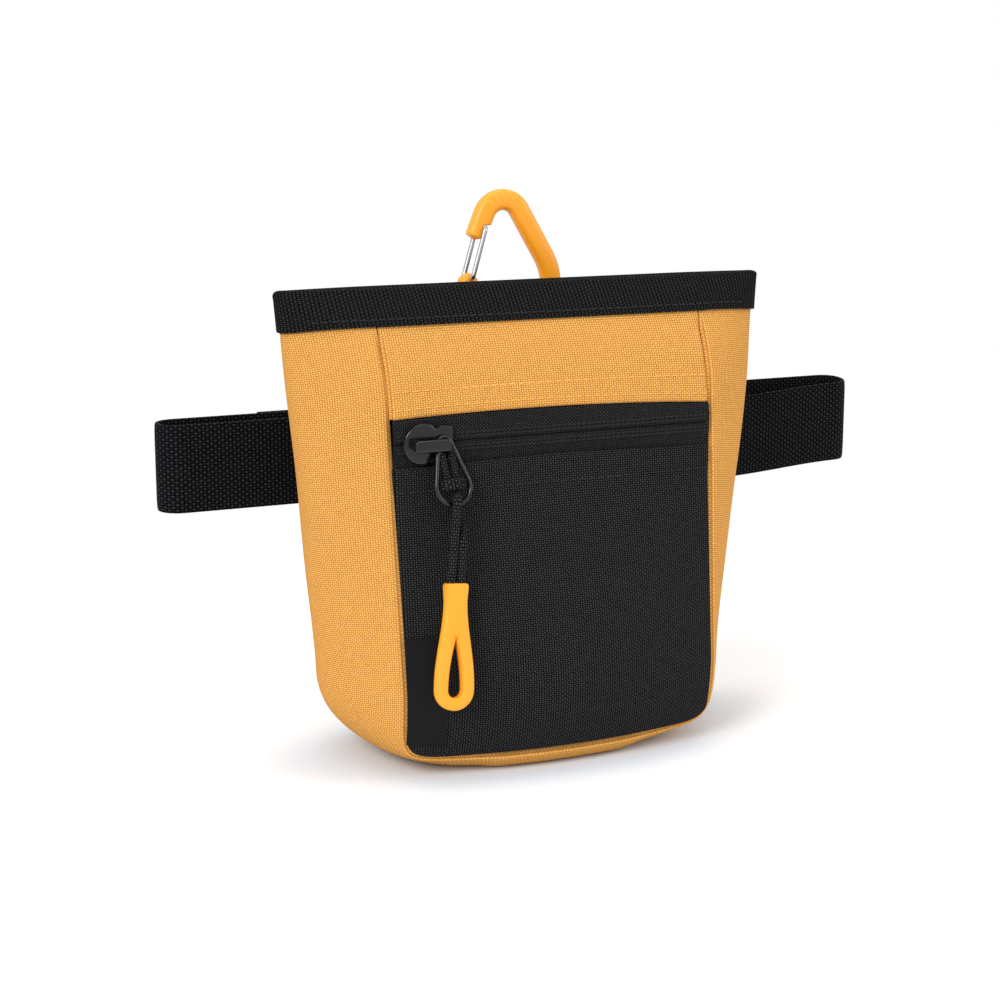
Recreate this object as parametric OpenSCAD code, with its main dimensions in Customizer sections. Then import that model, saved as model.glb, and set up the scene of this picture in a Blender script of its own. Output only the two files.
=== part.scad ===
// Belt-worn treat pouch: soft sewn body with a fold-open mouth, a zipped front pocket, a cord zip pull,
// a small carabiner on a webbing loop and a webbing belt with a side-release buckle.
// Millimetres. Origin at the middle of the base, +Z up, front towards -Y, +X to the right of the front.

/* [Pouch body] */
// Height of the closed rim above the base
pouch_h = 133; // [115:1:150]
// Width of the closed mouth
mouth_w = 147; // [135:1:165]
// Width of the sides, carried down to the base plane
foot_w = 119; // [112:1:130]
// Radius of the lower side corners
corner_r = 28.5; // [26:0.5:31]
// Height of the mouth flap from its fold line to the rim
flap_h = 33.5; // [30:0.5:36]
// Depth from the middle plane to the front seam near the base
front_d = 27.5; // [24:0.5:31]
// Depth from the middle plane to the front seam at the fold line
front_fold_d = 20; // [18:0.5:22]
// Depth from the middle plane to the back seam near the base
back_d = 27; // [24:0.5:31]
// Depth from the middle plane to the back seam at the fold line
back_fold_d = 17.5; // [16:0.5:19]
// Outward belly of the lower front panel
front_belly = 7; // [4:0.5:7]
// Width of the front panel at the rim
panel_top_w = 98.5; // [92:0.5:104]
// Width of the front panel at the base
panel_foot_w = 95.5; // [90:0.5:98]
// Height of the front panel's lower edge
panel_z = 5; // [4:0.5:8]
// Thickness of the outer weave
weave_t = 0.9; // [0.7:0.1:1.1]
// Thickness of the lining
lining_t = 0.5; // [0.4:0.1:0.6]

/* [Rim] */
// Height of the rim binding
binding_h = 10.4; // [9:0.2:13]
// Thickness of the binding tape
binding_t = 0.8; // [0.6:0.1:0.9]
// Length of the magnet strips
magnet_w = 84; // [60:1:90]
// Thickness of the magnet strips
magnet_t = 0.7; // [0.5:0.1:0.8]

/* [Zip] */
// Drop of the zip's centre line below the fold line
zip_drop = 6.2; // [6:0.1:7.2]
// Height of the lower half of the zip, down to the pocket's top edge
zip_half = 6.7; // [6.4:0.1:9]
// Distance from each seam to the end of the zip
zip_end = 2.3; // [2.2:0.1:4]
// Thickness of the zip tapes
tape_t = 0.6; // [0.5:0.1:0.7]
// Thickness of the zip coil
coil_t = 2; // [1.6:0.1:2.2]
// Length of the slider
slider_w = 14.2; // [12.4:0.2:14.4]
// Distance from the left seam to the middle of the resting slider
slider_in = 10.3; // [10:0.1:15]

/* [Zip pull] */
// Thickness of the pull wire
wire_d = 1.3; // [1:0.1:1.4]
// Width of the wire loop over its wire
wire_w = 11; // [10:0.5:12]
// Drop of the wire loop's foot below the zip
wire_drop = 16; // [14:0.5:18]
// Thickness of the cord
cord_d = 2.6; // [2.2:0.1:2.8]
// Length of the moulded tab
tab_h = 34; // [30:0.5:36]
// Width of the tab at its rounded foot
tab_w = 11.4; // [10:0.2:12.5]
// Thickness of the tab
tab_t = 3.4; // [3:0.2:4]
// Width of the side label
label_w = 9; // [7:0.5:10]
// Height of the side label
label_h = 30; // [24:1:34]

/* [Carabiner] */
// Thickness of the carabiner frame, front to back
hook_t = 5; // [4:0.2:5.4]
// Width of the frame's section
hook_w = 6; // [5:0.2:6.4]
// Drop of the carabiner's lower bar below the rim
hook_drop = 11.5; // [10.5:0.5:13]
// Thickness of the gate wire
gate_d = 1.5; // [1.2:0.1:1.6]
// Width of the webbing loop that carries it
loop_w = 12; // [10:0.5:13]

/* [Belt] */
// Width of the belt webbing
belt_w = 25; // [22:0.5:26]
// Thickness of the belt webbing
belt_t = 1.6; // [1.2:0.1:1.8]
// Drop of the belt's middle below the rim
belt_drop = 50.3; // [49:0.1:53]
// Reach of the left fold from the middle
belt_left = 101; // [96:1:115]
// Reach of the right fold from the middle
belt_right = 123.5; // [118:0.5:135]
// Radius of the belt's folds at its middle layer
fold_r = 5.5; // [5:0.1:7]
// Width of the belt sleeve on the back
sleeve_w = 56; // [40:1:60]
// Thickness of the buckle
buckle_t = 11; // [10:0.2:12]

/* [Hidden] */

yellow = "goldenrod";
black = "#1b1b1d";
orange = "orange";
metal = "dimgray";

// Clearances: between layers of cloth, along seams, between sliding pieces, and round a pivot
layer_gap = 0.15;
seam_gap = 1.4;
slide_gap = 0.4;
pivot_gap = 0.05;

// Rim: depth of the outer face from the middle plane, and of the fold at each end
rim_d = 3.5;
rim_end_d = 1.9;
hem_r = 0.8;
base_sag = 3.5;
base_tuck = 10;
corner_reach = 11;
side_crease = 0.42;
low_crease = 0.75;
base_crease = 0.08;
side_z = corner_r - base_sag;
seam_corner_r = side_z - panel_z;
seam_square = 3;
yc_foot = 3.5;

// Heights that hang from the rim
fold_z = pouch_h - flap_h;
zip_z = fold_z - zip_drop;
pocket_top_z = zip_z - zip_half;
belt_z = pouch_h - belt_drop;
hook_z = pouch_h - hook_drop;

function lerp(a, b, t) = a + (b - a) * t;
function smooth(t) = let (c = max(0, min(1, t))) c * c * (3 - 2 * c);
function unit(v) = v / norm(v);

// Half widths and depths of the body at a height
function apex_x(z) = lerp(foot_w / 2, mouth_w / 2, z / pouch_h);
function apex_y(z) = yc_foot * (1 - z / pouch_h);
function seam_x(z) = lerp(panel_foot_w / 2, panel_top_w / 2, z / pouch_h);
function above(z) = max(0, (z - fold_z) / (pouch_h - fold_z));
function below(z) = max(0, (fold_z - z) / (fold_z - side_z));
function tuck(z) = let (s = max(0, min(1, (side_z - z) / side_z))) base_tuck * (1 - sqrt(1 - s * s));
function wall_d(z, foot_d, bend_d) = z > fold_z
    ? lerp(bend_d, rim_d, above(z) * above(z))
    : lerp(bend_d, foot_d, min(1, below(z))) - tuck(z);
function belly(x, z) = front_belly * smooth((fold_z - z) / (fold_z - side_z))
    * max(0, 1 - pow(x / seam_x(z), 2));

// Points of the front and back walls by x and z
function front_at(x, z) = [x, -wall_d(z, front_d, front_fold_d) - belly(x, z), z];
function back_at(x, z) = [x, wall_d(z, back_d, back_fold_d), z];

// A panel with rounded lower corners, u from -1 to 1 across it and v from its top to its lower edge
panel_corner_r = seam_corner_r - seam_gap;
function lower_edge(x, half) = let (over = max(0, abs(x) - (half - panel_corner_r)))
    side_z - pow(max(0, pow(panel_corner_r, seam_square) - pow(over, seam_square)), 1 / seam_square);
function panel_xz(u, v, top, low) = let (
        half = seam_x(side_z) - seam_gap,
        z = lerp(top, max(low, lower_edge(u * half, half)), v))
    [u * (seam_x(z) - seam_gap), z];

// Seam outline and outer outline of the gusset, s from -1 at the left rim to 1 at the right rim
foot_share = 0.3;
side_share = 0.5;
function outline(s, half, low, r, reach, square, half_at) = let (
        a = abs(s),
        q = (a - side_share) / (1 - side_share),
        z = lerp(side_z, pouch_h, q),
        turn = 90 * (a - foot_share) / (side_share - foot_share),
        p = a < foot_share ? [(half - reach) * a / foot_share, low]
            : a < side_share
                ? [half - reach * (1 - pow(sin(turn), 2 / square)),
                    low + r * (1 - pow(cos(turn), 2 / square))]
            : [half_at(z), z])
    [s < 0 ? -p[0] : p[0], p[1]];
function seam_xz(s) = outline(s, seam_x(side_z), panel_z, seam_corner_r, seam_corner_r, seam_square,
    function(z) seam_x(z));
function outer_xz(s) = outline(s, apex_x(side_z), -base_sag, corner_r, corner_r + corner_reach, 2,
    function(z) apex_x(z));
function side_at(z) = side_share + (1 - side_share) * (z - side_z) / (pouch_h - side_z);

// Gusset: a curve from the front seam round the outer edge to the back seam, w from 0 to 1
function crease(s, rear) = let (a = abs(s))
    rear ? lerp(base_crease, side_crease, smooth((a - 0.2) / 0.4))
        : lerp(lerp(base_crease, low_crease, smooth((a - 0.2) / 0.3)), side_crease,
            smooth((a - side_share) / 0.3));
function bend(a, b, c, t) = (1 - t) * (1 - t) * a + 2 * t * (1 - t) * b + t * t * c;
function gusset_at(s, w, fold_d) = let (
        seam = seam_xz(s),
        outer = outer_xz(s),
        rear = w > 0.5,
        from = rear ? back_at(seam[0], seam[1]) : front_at(seam[0], seam[1]),
        mid = [outer[0], apex_y(max(0, outer[1])) + (rear ? fold_d : -fold_d), outer[1]],
        control = [outer[0], lerp(from[1], mid[1], crease(s, rear)), outer[1]],
        p = bend(from, control, mid, rear ? 2 - 2 * w : 2 * w))
    [p[0], p[1], max(0, p[2])];

// Inward normal of a surface given by a function of two parameters
step = 0.002;
function inward(f, u, v, way) = let (
        du = f(u + step, v) - f(u - step, v),
        dv = f(u, v + step) - f(u, v - step))
    way * unit(cross(du, dv));
function sunk(f, u, v, way, depth) = f(u, v) + depth * inward(f, u, v, way);

// A sheet of cloth over a surface, between two depths under it
module cloth(f, us, vs, way, from, to) {
    nu = len(us);
    nv = len(vs);
    n = nu * nv;
    points = [for (d = [from, to]) for (v = vs) for (u = us)
        sunk(f, u, v, way, is_function(d) ? d(u, v) : d)];
    function quad(a, b, c, d) = way > 0 ? [[a, c, b], [a, d, c]] : [[a, b, c], [a, c, d]];
    faces = [
        for (j = [0:nv - 2]) for (i = [0:nu - 2]) let (k = j * nu + i) each concat(
            quad(k, k + nu, k + nu + 1, k + 1), quad(n + k, n + k + 1, n + k + nu + 1, n + k + nu)),
        for (i = [0:nu - 2]) let (k = (nv - 1) * nu + i) each concat(
            quad(i, i + 1, n + i + 1, n + i), quad(k, n + k, n + k + 1, k + 1)),
        for (j = [0:nv - 2]) let (k = j * nu, m = k + nu - 1) each concat(
            quad(k, n + k, n + k + nu, k + nu), quad(m, m + nu, n + m + nu, n + m))
    ];
    polyhedron(points, faces);
}

// A closed skin through rings of points, with flat ends or joined end to end
module skin(rings, loop = false) {
    n = len(rings[0]);
    m = len(rings);
    points = [for (ring = rings) each ring];
    sides = [for (j = [0:m - (loop ? 1 : 2)]) for (i = [0:n - 1]) let (
            a = j * n + i,
            b = j * n + (i + 1) % n,
            c = ((j + 1) % m) * n + (i + 1) % n,
            d = ((j + 1) % m) * n + i) each [[a, c, b], [a, d, c]]];
    last = (m - 1) * n;
    ends = loop ? [] : [for (i = [1:n - 2]) each [[0, i, i + 1], [last, last + i + 1, last + i]]];
    polyhedron(points, concat(sides, ends));
}

// Rounded section: half sizes along two directions, as a closed row of points
function section(centre, across, depth, half_a, half_b, count, power) = [for (i = [0:count - 1])
    let (t = 360 * i / count, c = cos(t), s = sin(t))
    centre + across * half_a * sign(c) * pow(abs(c), power) + depth * half_b * sign(s) * pow(abs(s), power)];

// Tangent of a path at one of its points
function along(path, i) = unit(path[min(i + 1, len(path) - 1)] - path[max(i - 1, 0)]);

// A round tube along a path of points, which never runs along the given direction
function tube_rings(path, r, count, ahead) = [for (i = [0:len(path) - 1])
    let (t = along(path, i), a = unit(cross(ahead, t)))
    section(path[i], a, cross(t, a), r, r, count, 1)];

// A path through corner points, rounded at each inner corner
function fillet(p, q, r, rad, count) = let (
        a = unit(p - q),
        b = unit(r - q),
        half = acos(a * b) / 2,
        reach = rad / tan(half),
        centre = q + unit(a + b) * rad / sin(half),
        from = q + a * reach - centre,
        to = q + b * reach - centre,
        sweep = 180 - 2 * half)
    [for (i = [0:count]) let (t = i / count)
        centre + (sin((1 - t) * sweep) * from + sin(t * sweep) * to) / sin(sweep)];
function rounded(corners, radii, count) = concat([corners[0]],
    [for (i = [1:len(corners) - 2])
        each fillet(corners[i - 1], corners[i], corners[i + 1], radii[i - 1], count)],
    [corners[len(corners) - 1]]);

// A flat ribbon: outline of a path with a thickness
function ribbon(path, t) = let (n = len(path))
    concat([for (i = [0:n - 1]) let (d = along(path, i)) path[i] + [-d[1], d[0]] * t / 2],
        [for (i = [n - 1:-1:0]) let (d = along(path, i)) path[i] - [-d[1], d[0]] * t / 2]);
function arc(c, r, from, to, count) = [for (i = [0:count]) let (a = lerp(from, to, i / count))
    c + r * [cos(a), sin(a)]];
function spread(a, b, count) = [for (i = [0:count]) lerp(a, b, i / count)];

// Layers of the hem, as depths under the outer face
magnet_d = weave_t + layer_gap;
hem_lining_d = magnet_d + magnet_t + layer_gap;
hem_d = hem_lining_d + lining_t + layer_gap;
binding_low = pouch_h - binding_h;
hem_top = pouch_h - binding_t - layer_gap;
fold_gap = hem_r + slide_gap;

// Front wall from the left end of the mouth to its right end, and the same at the back
seam_share = 0.66;
function wall_at(u, z, rear) = let (a = abs(u), s = side_at(z) * sign(u))
    a <= seam_share
        ? (rear ? back_at(seam_x(z) * u / seam_share, z) : front_at(seam_x(z) * u / seam_share, z))
        : gusset_at(s, (rear ? 1 : 0) + (rear ? -0.5 : 0.5) * (a - seam_share) / (1 - seam_share), rim_end_d);
front_wall = function(u, v) wall_at(u, v, false);
rear_wall = function(u, v) wall_at(u, v, true);
end_ws = spread(0, 0.485, 7);
rim_end_us = [for (w = end_ws) seam_share + 2 * w * (1 - seam_share)];
function backwards(list) = [for (i = [len(list) - 1:-1:0]) list[i]];
rim_us = concat(-backwards(rim_end_us), spread(-0.95, 0.95, 4) * seam_share, rim_end_us);
binding_rise = 1.8;
function rim_low(u) = binding_low + binding_rise * smooth((1 - abs(u)) / (1 - seam_share));
rim_high = pouch_h - binding_t;
function rim_z(u, k) = lerp(rim_low(u), rim_high, k / 2);

// Rim binding: a tape folded over the hem of the front or the rear wall
module rim_binding(f, way) {
    inner = function(u) abs(u) < seam_share ? hem_d : weave_t + layer_gap;
    rise = [[0, 0, 0], [0, 0, 0], [0, 0, binding_t]];
    ring = function(u) concat(
        [for (k = [0:2]) sunk(f, u, rim_z(u, k), way, -binding_t - layer_gap) + rise[k]],
        [for (k = [2:-1:0]) sunk(f, u, rim_z(u, k), way, inner(u) + binding_t) + rise[k]],
        [for (k = [0:2]) sunk(f, u, rim_z(u, k), way, inner(u))],
        [for (k = [2:-1:0]) sunk(f, u, rim_z(u, k), way, -layer_gap)]);
    rings = [for (u = way > 0 ? rim_us : backwards(rim_us)) ring(u)];
    n = 12;
    last = (len(rings) - 1) * n;
    sides = [for (j = [0:len(rings) - 2]) for (i = [0:n - 1]) let (
            a = j * n + i,
            b = j * n + (i + 1) % n) each [[a, b + n, b], [a, a + n, b + n]]];
    tiles = [[0, 1, 10, 11], [1, 2, 9, 10], [2, 3, 8, 9], [3, 4, 7, 8], [4, 5, 6, 7]];
    ends = [for (t = tiles) each [[t[0], t[1], t[2]], [t[0], t[2], t[3]],
        [last + t[0], last + t[2], last + t[1]], [last + t[0], last + t[3], last + t[2]]]];
    polyhedron([for (r = rings) each r], concat(sides, ends));
}

panel_us = [-1, -0.97, -0.9, -0.8, -0.6, -0.3, 0, 0.3, 0.6, 0.8, 0.9, 0.97, 1];
panel_vs = [0, 0.2, 0.4, 0.58, 0.72, 0.83, 0.91, 0.97, 1];
flap_us = spread(-1, 1, 6);
function flap_at(u, v, rear) = let (z = lerp(fold_z, hem_top, v), x = u * (seam_x(z) - seam_gap))
    rear ? back_at(x, z) : front_at(x, z);

back_surface = function(u, v) let (p = panel_xz(u, v, hem_top, panel_z)) back_at(p[0], p[1]);
back_vs = concat(spread(0, 0.26, 7), [0.4, 0.6, 0.75, 0.84, 0.91, 0.96, 1]);
module back_panel() color(yellow) cloth(back_surface, panel_us, back_vs, -1, 0, weave_t);
module back_lining() color(black)
    cloth(back_surface, panel_us * 0.985, back_vs * 0.985, -1, hem_lining_d, hem_lining_d + lining_t);

// Gusset: one strip below the fold line, and four ends above it that part at the mouth
strip_top = fold_z - fold_gap;
corner_turns = 6;
corner_ss = [for (i = [1:corner_turns]) lerp(side_share, foot_share, i / corner_turns)];
half_ss = concat(spread(side_at(strip_top), side_share, 5), corner_ss);
strip_ss = concat(-half_ss, [for (k = [-2:2]) k / 3 * foot_share], backwards(half_ss));
strip_ws = [0, 0.07, 0.15, 0.24, 0.33, 0.42, 0.5, 0.58, 0.67, 0.76, 0.85, 0.93, 1];
gusset_surface = function(s, w) gusset_at(s, w, 0);
gusset_end_surface = function(s, w) gusset_at(s, w, rim_end_d * min(1, 4 * above(seam_xz(s)[1])) + layer_gap);
module gusset_strip() color(yellow)
    cloth(gusset_surface, strip_ss, strip_ws, 1, 0, weave_t);
end_ss = spread(side_at(fold_z + slide_gap), side_at(hem_top), 8);
module gusset_end(side, rear) color(yellow)
    cloth(gusset_end_surface, side > 0 ? end_ss : -backwards(end_ss),
        rear ? [for (w = backwards(end_ws)) 1 - w] : end_ws, 1, 0, weave_t);
module gusset_rear_left() gusset_end(-1, true);
module gusset_rear_right() gusset_end(1, true);
module gusset_front_left() gusset_end(-1, false);
module gusset_front_right() gusset_end(1, false);

// Front pocket: outer panel below the zip, and the backing that stands behind the zip's slider
zip_y = -front_at(0, zip_z)[1];
zip_w = 2 * (seam_x(zip_z) - zip_end);
slider_x = slider_in - seam_x(zip_z);
pocket_surface = function(u, v) let (p = panel_xz(u, v, pocket_top_z, panel_z)) front_at(p[0], p[1]);
backing_surface = function(u, v) let (p = panel_xz(u, v, fold_z - fold_gap, panel_z)) front_at(p[0], p[1]);
slider_plate_t = 1;
pocket_slack = 1.9;
pocket_depth = tape_t + coil_t + slider_plate_t + pocket_slack;
backing_us = [-0.985, -0.96, -0.9, -0.8, -0.6, -0.3, 0, 0.3, 0.6, 0.8, 0.9, 0.96, 0.985];
backing_d = function(u, v) lerp(weave_t + slide_gap, pocket_depth, smooth((0.985 - abs(u)) * 40));
backing_inner_d = function(u, v) backing_d(u, v) + lining_t;
module pocket_panel() color(black) cloth(pocket_surface, panel_us, panel_vs, 1, 0, weave_t);
module pocket_backing() color(black)
    cloth(backing_surface, backing_us, panel_vs * 0.985, 1, backing_d, backing_inner_d);

// Mouth flap: upper panel with its hem rolled on the fold line, and its lining
flap_surface = function(u, v) flap_at(u, v, false);
fold_y = -front_fold_d + weave_t / 2;
module front_upper_panel() color(yellow) {
    cloth(flap_surface, flap_us, spread(0.01, 1, 8), -1, 0, weave_t);
    translate([-seam_x(fold_z) + seam_gap, fold_y, fold_z])
        rotate([0, 90, 0])
            cylinder(r = hem_r, h = 2 * (seam_x(fold_z) - seam_gap), $fn = 24);
}
module front_upper_lining() color(black)
    cloth(flap_surface, flap_us * 0.985, spread(0.06, 0.99, 8), -1, hem_lining_d, hem_lining_d + lining_t);
module front_rim_binding() color(black) rim_binding(front_wall, -1);
module rear_rim_binding() color(black) rim_binding(rear_wall, 1);

// Magnet strips sewn into the hems
magnet_us = spread(-1, 1, 4) * magnet_w / panel_top_w;
magnet_vs = spread((rim_low(0) - fold_z + 1) / (hem_top - fold_z), 0.97, 3);
rear_flap_surface = function(u, v) flap_at(u, v, true);
module front_magnet_strip() color(metal)
    cloth(flap_surface, magnet_us, magnet_vs, -1, magnet_d, magnet_d + magnet_t);
module rear_magnet_strip() color(metal)
    cloth(rear_flap_surface, magnet_us, magnet_vs, 1, magnet_d, magnet_d + magnet_t);

// Zip: tapes with a slit between them and the coil behind
slit = 1.2;
coil_h = 2.3;
tape_top = fold_z - fold_gap;
module tape(low, high) translate([-zip_w / 2, -zip_y, low]) cube([zip_w, tape_t, high - low]);
coil_w = zip_w - 4;
module coil(low) translate([-coil_w / 2, -zip_y + tape_t, low]) cube([coil_w, coil_t, coil_h]);
module zip_tape_upper() color(black) tape(zip_z + slit / 2, tape_top);
module zip_tape_lower() color(black) tape(pocket_top_z + slide_gap / 2, zip_z - slit / 2);
module zip_coil_upper() color(black) coil(zip_z + slit / 2);
module zip_coil_lower() color(black) coil(zip_z - slit / 2 - coil_h);

// Slider: outer and inner plates on a thin post that runs in the slit
slider_wide = 5.6;
slider_narrow = 4.6;
slider_tail_r = 1;
slider_front_t = 1.3;
slider_y = -zip_y - slide_gap;
post_t = 0.6;
post_w = 5;
post_in = 0.2;
rear_inset = 0.6;
module slider_plate(y, t, grow) translate([slider_x, y, zip_z])
    rotate([90, 0, 0])
        linear_extrude(t)
            hull() {
                translate([-slider_w / 2 + slider_wide, 0]) circle(r = slider_wide - grow, $fn = 48);
                for (side = [-1, 1])
                    translate([slider_w / 2 - slider_tail_r, side * (slider_narrow - slider_tail_r)])
                        circle(r = slider_tail_r - grow, $fn = 24);
            }
module zip_slider() color(metal) {
    slider_plate(slider_y, slider_front_t, 0);
    slider_plate(-zip_y + tape_t + coil_t + slide_gap + slider_plate_t, slider_plate_t, rear_inset);
    translate([slider_x - post_w / 2, slider_y - post_in, zip_z - post_t / 2])
        cube([post_w, tape_t + coil_t + 2 * slide_gap + 2 * post_in, post_t]);
}

// Bail: a bar along the slider on a square post and a round pillar, which the pull wire swings on
bail_w = 10;
bail_t = 1.6;
bail_h = 3;
bail_y = slider_y - slider_front_t;
bail_rise = wire_d + 3 * slide_gap;
pillar_r = 1;
pillar_x = slider_x + bail_w / 2 - pillar_r;
module slider_bail() color(metal) {
    translate([slider_x - bail_w / 2, bail_y - bail_rise - bail_t, zip_z - bail_h / 2])
        cube([bail_w, bail_t, bail_h]);
    translate([slider_x - bail_w / 2, bail_y - bail_rise - bail_t, zip_z - bail_h / 2])
        cube([bail_t, bail_rise + bail_t, bail_h]);
    translate([pillar_x, bail_y, zip_z])
        rotate([90, 0, 0])
            cylinder(r = pillar_r, h = bail_rise + bail_t / 2, $fn = 32);
}

// Wire loop: a neck round the pillar that widens to a round foot, leaning away from the pocket
wire_r = wire_d / 2;
wire_neck = pillar_r + slide_gap / 2 + wire_r;
wire_slant = 1.8;
wire_head = [pillar_x, bail_y - bail_rise / 2, zip_z];
wire_foot_z = zip_z - wire_drop;
cord_bend_r = wire_r + slide_gap + cord_d / 2;
cord_stand = 0.8;
wire_foot_y = front_at(0, wire_foot_z)[1] - cord_bend_r - cord_d / 2 - cord_stand;
wire_foot = [pillar_x + wire_slant, wire_foot_y, wire_foot_z];
wire_down = unit(wire_foot - wire_head);
wire_side = unit(cross([0, 1, 0], wire_down));
wire_normal = cross(wire_side, wire_down);
wire_half = (wire_w - wire_d) / 2;
wire_foot_centre = wire_foot - wire_half * wire_down;
wire_spread = asin((wire_half - wire_neck) / norm(wire_foot_centre - wire_head));
function wire_arc(centre, r, from, to, count) = [for (t = spread(from, to, count))
    centre + r * (wire_side * sin(t) - wire_down * cos(t))];
wire_path = concat(wire_arc(wire_head, wire_neck, wire_spread - 90, 90 - wire_spread, 9),
    wire_arc(wire_foot_centre, wire_half, 90 - wire_spread, 270 + wire_spread, 15));
function ring_along(path, i) = unit(path[(i + 1) % len(path)] - path[(i + len(path) - 1) % len(path)]);
module pull_wire() color(metal) skin([for (i = [0:len(wire_path) - 1]) let (t = ring_along(wire_path, i))
    section(wire_path[i], cross(wire_normal, t), wire_normal, wire_r, wire_r, 8, 1)], true);

// Cord: from the tab up over the foot of the wire loop, and down again beside itself
strand_x = cord_d / 2 + 0.1;
tab_drop = 20.5;
tab_slant = -2.2;
tab_stand = 2;
tab_top_z = wire_foot_z - tab_drop;
tab_top = [wire_foot[0] + tab_slant, front_at(0, tab_top_z)[1] - tab_t / 2 - tab_stand, tab_top_z];
cord_sink = 0.4;
cord_bend = [for (t = spread(0, 1, 6)) wire_foot + [lerp(-0.7, 0.7, t) * strand_x, 0, wire_r]
    + cord_bend_r * [0, -cos(180 * t), sin(180 * t)]];
function strand_at(side, t) = lerp(tab_top, wire_foot - [0, cord_bend_r, 0], t)
    + [side * strand_x * (1 - 0.3 * t), 0, 0];
function strand_end(side) = tab_top + [side * strand_x, 0, cord_sink];
cord_path = concat([strand_end(-1)], [for (t = [0.2, 0.4, 0.6, 0.8]) strand_at(-1, t)],
    cord_bend,
    [wire_foot + [strand_x, 0.65 * cord_bend_r, -1.2 * cord_bend_r]],
    [wire_foot + [strand_x, -0.1 * cord_bend_r, -2.5 * cord_bend_r]],
    [for (t = [0.5, 0.35, 0.2]) strand_at(1, t)], [strand_end(1)]);
module pull_cord() color(black) skin(tube_rings(cord_path, cord_d / 2, 8, [1, 0, 0]));

// Tab: a moulded stem that opens into a teardrop loop
tab_foot_slant = -2.9;
tab_foot_stand = 1.2;
tab_foot_z = tab_top_z - tab_h;
tab_foot = [tab_top[0] + tab_foot_slant, front_at(0, tab_foot_z)[1] - tab_t / 2 - tab_foot_stand, tab_foot_z];
tab_down = unit(tab_foot - tab_top);
tab_side = unit(cross([0, 1, 0], tab_down));
tab_face = cross(tab_side, tab_down);
tab_long = norm(tab_foot - tab_top);
tab_wall = 3.9;
tab_top_w = 6.3;
hole_top_r = 0.5;
foot_at = tab_long - tab_w / 2;
function stem_half(t) = lerp(tab_top_w, tab_w, smooth((t - 0.1) / 0.62)) / 2;
tab_right = concat([[stem_half(0) - hole_top_r, 0]],
    [for (t = [0.02, 0.2, 0.3, 0.4, 0.5, 0.6, 0.7]) [stem_half(t), t * tab_long]]);
tab_outline = concat(tab_right, arc([0, foot_at], tab_w / 2, 0, 180, 16),
    [for (p = backwards(tab_right)) [-p[0], p[1]]]);
module on_tab() multmatrix([for (i = [0:2]) [tab_side[i], tab_down[i], tab_face[i], tab_top[i]]]) children();
module pull_tab() color(orange) on_tab() translate([0, 0, -tab_t / 2]) linear_extrude(tab_t) difference() {
    polygon(tab_outline);
    hull() {
        translate([0, foot_at]) circle(r = tab_w / 2 - tab_wall, $fn = 24);
        translate([0, 0.46 * tab_long]) circle(r = hole_top_r, $fn = 12);
    }
}

// Side label: a folded tape caught in the left seam
label_z = 11;
label_t = 0.9;
label_in = seam_gap + 1;
label_surface = function(u, v) front_at(label_w * u + label_in - seam_x(label_z), label_z + label_h * v);
module side_label() color(black)
    cloth(label_surface, spread(0, 1, 3), spread(0, 1, 6), -1, -label_t - slide_gap / 2, -slide_gap / 2);

// Belt: layers by their distance behind the middle plane
belt_low = belt_z - belt_w / 2;
front_layer = back_at(0, belt_low)[1] + slide_gap + belt_t / 2;
back_layer = front_layer + 2 * fold_r;
tail_layer = back_layer + belt_t + slide_gap;
bar_r = 2;
bar_y = back_layer + bar_r + slide_gap + belt_t / 2;
wrap_r = bar_r + slide_gap + belt_t / 2;
socket_bar = -28;
plug_bar = 36;
hem_end = -69;
tail_end = 80;
left_fold = -belt_left + fold_r + belt_t / 2;
right_fold = belt_right - fold_r - belt_t / 2;
fold_mid = (front_layer + back_layer) / 2;
belt_path = concat([[hem_end, tail_layer], [socket_bar - 20, tail_layer], [socket_bar - 9, bar_y + 1.8]],
    arc([socket_bar, bar_y], wrap_r, 90, -90, 8),
    [[socket_bar - 9, back_layer], [left_fold + 1, back_layer]],
    arc([left_fold, fold_mid], fold_r, 90, 270, 12),
    [[0, front_layer]],
    arc([right_fold, fold_mid], fold_r, -90, 90, 12));
return_path = concat([[right_fold - slide_gap, back_layer], [plug_bar + 9, back_layer]],
    arc([plug_bar, bar_y], wrap_r, -90, -270, 8),
    [[plug_bar + 9, bar_y + 1.8], [plug_bar + 20, tail_layer], [tail_end, tail_layer]]);
module strap(path) translate([0, 0, belt_low]) linear_extrude(belt_w) polygon(ribbon(path, belt_t));
module belt_webbing() color(black) strap(belt_path);
module belt_return() color(black) strap(return_path);

// Sleeve on the back: sewn above and below the belt, standing clear of it
sleeve_t = 1;
sleeve_y = front_layer + belt_t / 2 + slide_gap + sleeve_t / 2;
sleeve_rise = 2.4;
sleeve_bend = 5;
sleeve_hem = 8;
sleeve_top_hem = 3;
belt_top = belt_z + belt_w / 2;
function on_back(z, t) = [back_at(0, z)[1] + slide_gap / 2 + t / 2, z];
sleeve_path = [on_back(belt_top + sleeve_bend + sleeve_top_hem, sleeve_t),
    on_back(belt_top + sleeve_bend + sleeve_top_hem / 2, sleeve_t), on_back(belt_top + sleeve_bend, sleeve_t),
    [sleeve_y, belt_top + sleeve_rise], [sleeve_y, belt_z], [sleeve_y, belt_low - sleeve_rise],
    on_back(belt_low - sleeve_bend, sleeve_t), on_back(belt_low - sleeve_bend - sleeve_hem / 2, sleeve_t),
    on_back(belt_low - sleeve_bend - sleeve_hem, sleeve_t)];
module on_x(w) rotate([90, 0, 90]) translate([0, 0, -w / 2]) linear_extrude(w) children();
module belt_sleeve() color(black) on_x(sleeve_w) polygon(ribbon(sleeve_path, sleeve_t));

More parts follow.
